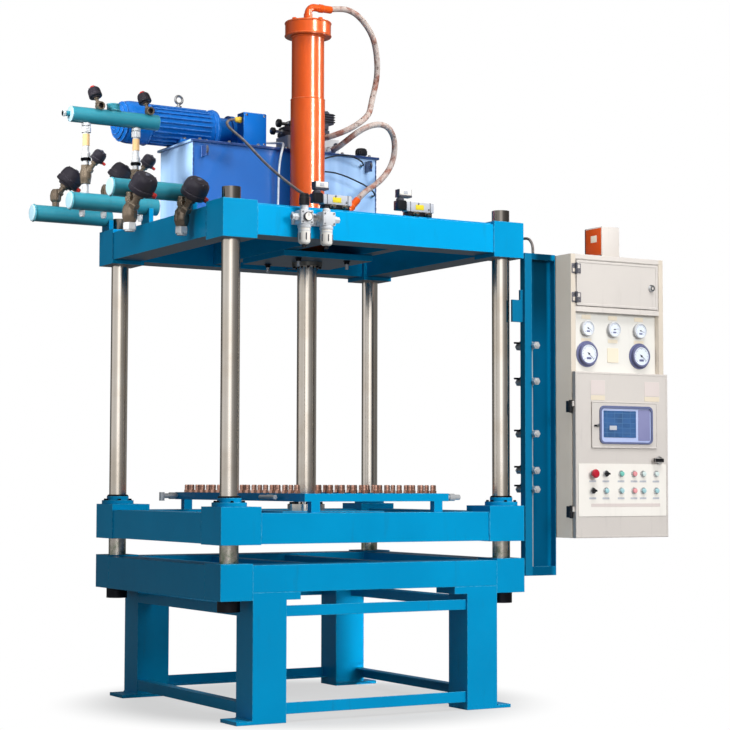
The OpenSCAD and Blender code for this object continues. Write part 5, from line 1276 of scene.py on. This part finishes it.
for z, kinds in ROWS:
    for x, kind in zip(BUTTON_X, kinds):
        at = (x, PANEL_Y, z)
        prism(panel["valve_grey"], rounded(x - 0.018, x + 0.018, z - 0.036, z - 0.028, 0.001),
              PANEL_Y - 0.0004, PANEL_Y)
        lathe(panel["zinc"], ring, at, FRONT)
        if kind == "mushroom":
            lathe(panel["black"], [(0.009, 0.003), (0.009, 0.018)], at, FRONT, 24)
            lathe(panel["lens_red"], mushroom, at, FRONT, 36)
        elif kind == "selector":
            lathe(panel["black"], selector, at, FRONT, 28)
            block(panel["black"], (x - 0.016, PANEL_Y - 0.0215, z - 0.0045),
                  (x + 0.010, PANEL_Y - 0.010, z + 0.0045), 0.002)
        else:
            lathe(panel[kind], lens, at, FRONT, 28)
panel.put("operating_panel", "lower_cabinet_door", "control_buttons")

# Filling nipples: turned copper with a hexagon foot and three barbs for a hose, screwed in rows into the four
# tubes of the manifold on the platen.
MANIFOLD_TOP, PITCH, LONG_Y, SIDE_X = 0.888, 0.054, 0.587, 0.322
ON_LONG, ON_SIDE, BARBS, BARB_STEP = 11, 20, 3, 0.006
steel("copper", "nipple_brass", "E2B09C", 0.24, "B06E54", 0.05)
barrel = [(0.0085, 0.011), (0.0085, 0.014)]
for k in range(BARBS):
    barrel += [(0.0112, 0.014 + BARB_STEP * k), (0.0088, 0.0198 + BARB_STEP * k)]
barrel += [(0.0082, 0.034), (0.0054, 0.034), (0.0054, 0.020)]
places = [((k - (ON_LONG - 1) / 2) * PITCH, s * LONG_Y) for s in (-1, 1) for k in range(ON_LONG)]
places += [(s * SIDE_X, (k - (ON_SIDE - 1) / 2) * PITCH) for s in (-1, 1) for k in range(ON_SIDE)]
nipples = Kit()
for x, y in places:
    foot = (x, y, MANIFOLD_TOP)
    lathe(nipples["copper"], [(0.0135, 0), (0.0135, 0.010), (0.0122, 0.012)], foot, sides=6)
    lathe(nipples["copper"], barrel, foot, sides=12)
nipples.put("filling_nipples", "platen", "manifold_nipples")

# Edge lights: soft boxes and tall strips that light one group of pieces each: the shaded left sides, the
# back legs and, with the strips, the bright streaks on the cylinder.


def only_for(light, *starts):
    """Lets a light reach only the meshes whose names start with one of the given words."""
    group = bpy.data.collections.new(light.name + "_group")
    for o in scene.objects:
        if o.type == "MESH" and o.name.startswith(starts):
            group.objects.link(o)
    light.light_linking.receiver_collection = group


only_for(soft_light("unit_left", (-3.4, -0.6, 3.1), (-0.6, 0.2, 2.25), 1.4, 205), "oil_tank", "pump_motor",
         "motor_cowl", "supply_pipes", "upper_pipe", "riser_pipes", "pipe_trim", "seat_valves", "unit_trim")
only_for(soft_light("top_left", (-3.4, -0.6, 2.6), (-0.7, 0, 1.96), 1.4, 28), "top_corner_blocks",
         "top_cross_beams")
only_for(soft_light("platen_left", (-3.4, -0.6, 1.4), (-0.7, 0, 0.76), 1.4, 9), "platen_corner_blocks",
         "platen_cross_beams")
only_for(soft_light("cabinet_left", (-2.4, -1.55, 1.7), (0.9, -0.65, 1.3), 1.2, 57), "cabinet_", "roof_box",
         "hinge_leaves")
only_for(soft_light("cylinder_left", (-3.4, -2.6, 3.1), (0, 0, 2.5), 1.2, 56), "cylinder_barrel",
         "cylinder_cap", "cylinder_trim")
leg_front = soft_light("leg_front", (0.75, -2.6, 0.32), (0.50, 0.5, 0.25), 0.7, 3.4)
leg_front.data.spread = math.radians(24)
only_for(leg_front, "back_legs")
for name, place, power in (("strip_front", (0.30, -3.0, 3.1), 300), ("strip_right", (2.6, -1.5, 3.1), 170)):
    strip = soft_light(name, place, (0, 0, 2.5), 0.6, power, 2.2)
    strip.visible_diffuse = False
    only_for(strip, "cylinder_barrel", "cylinder_cap")
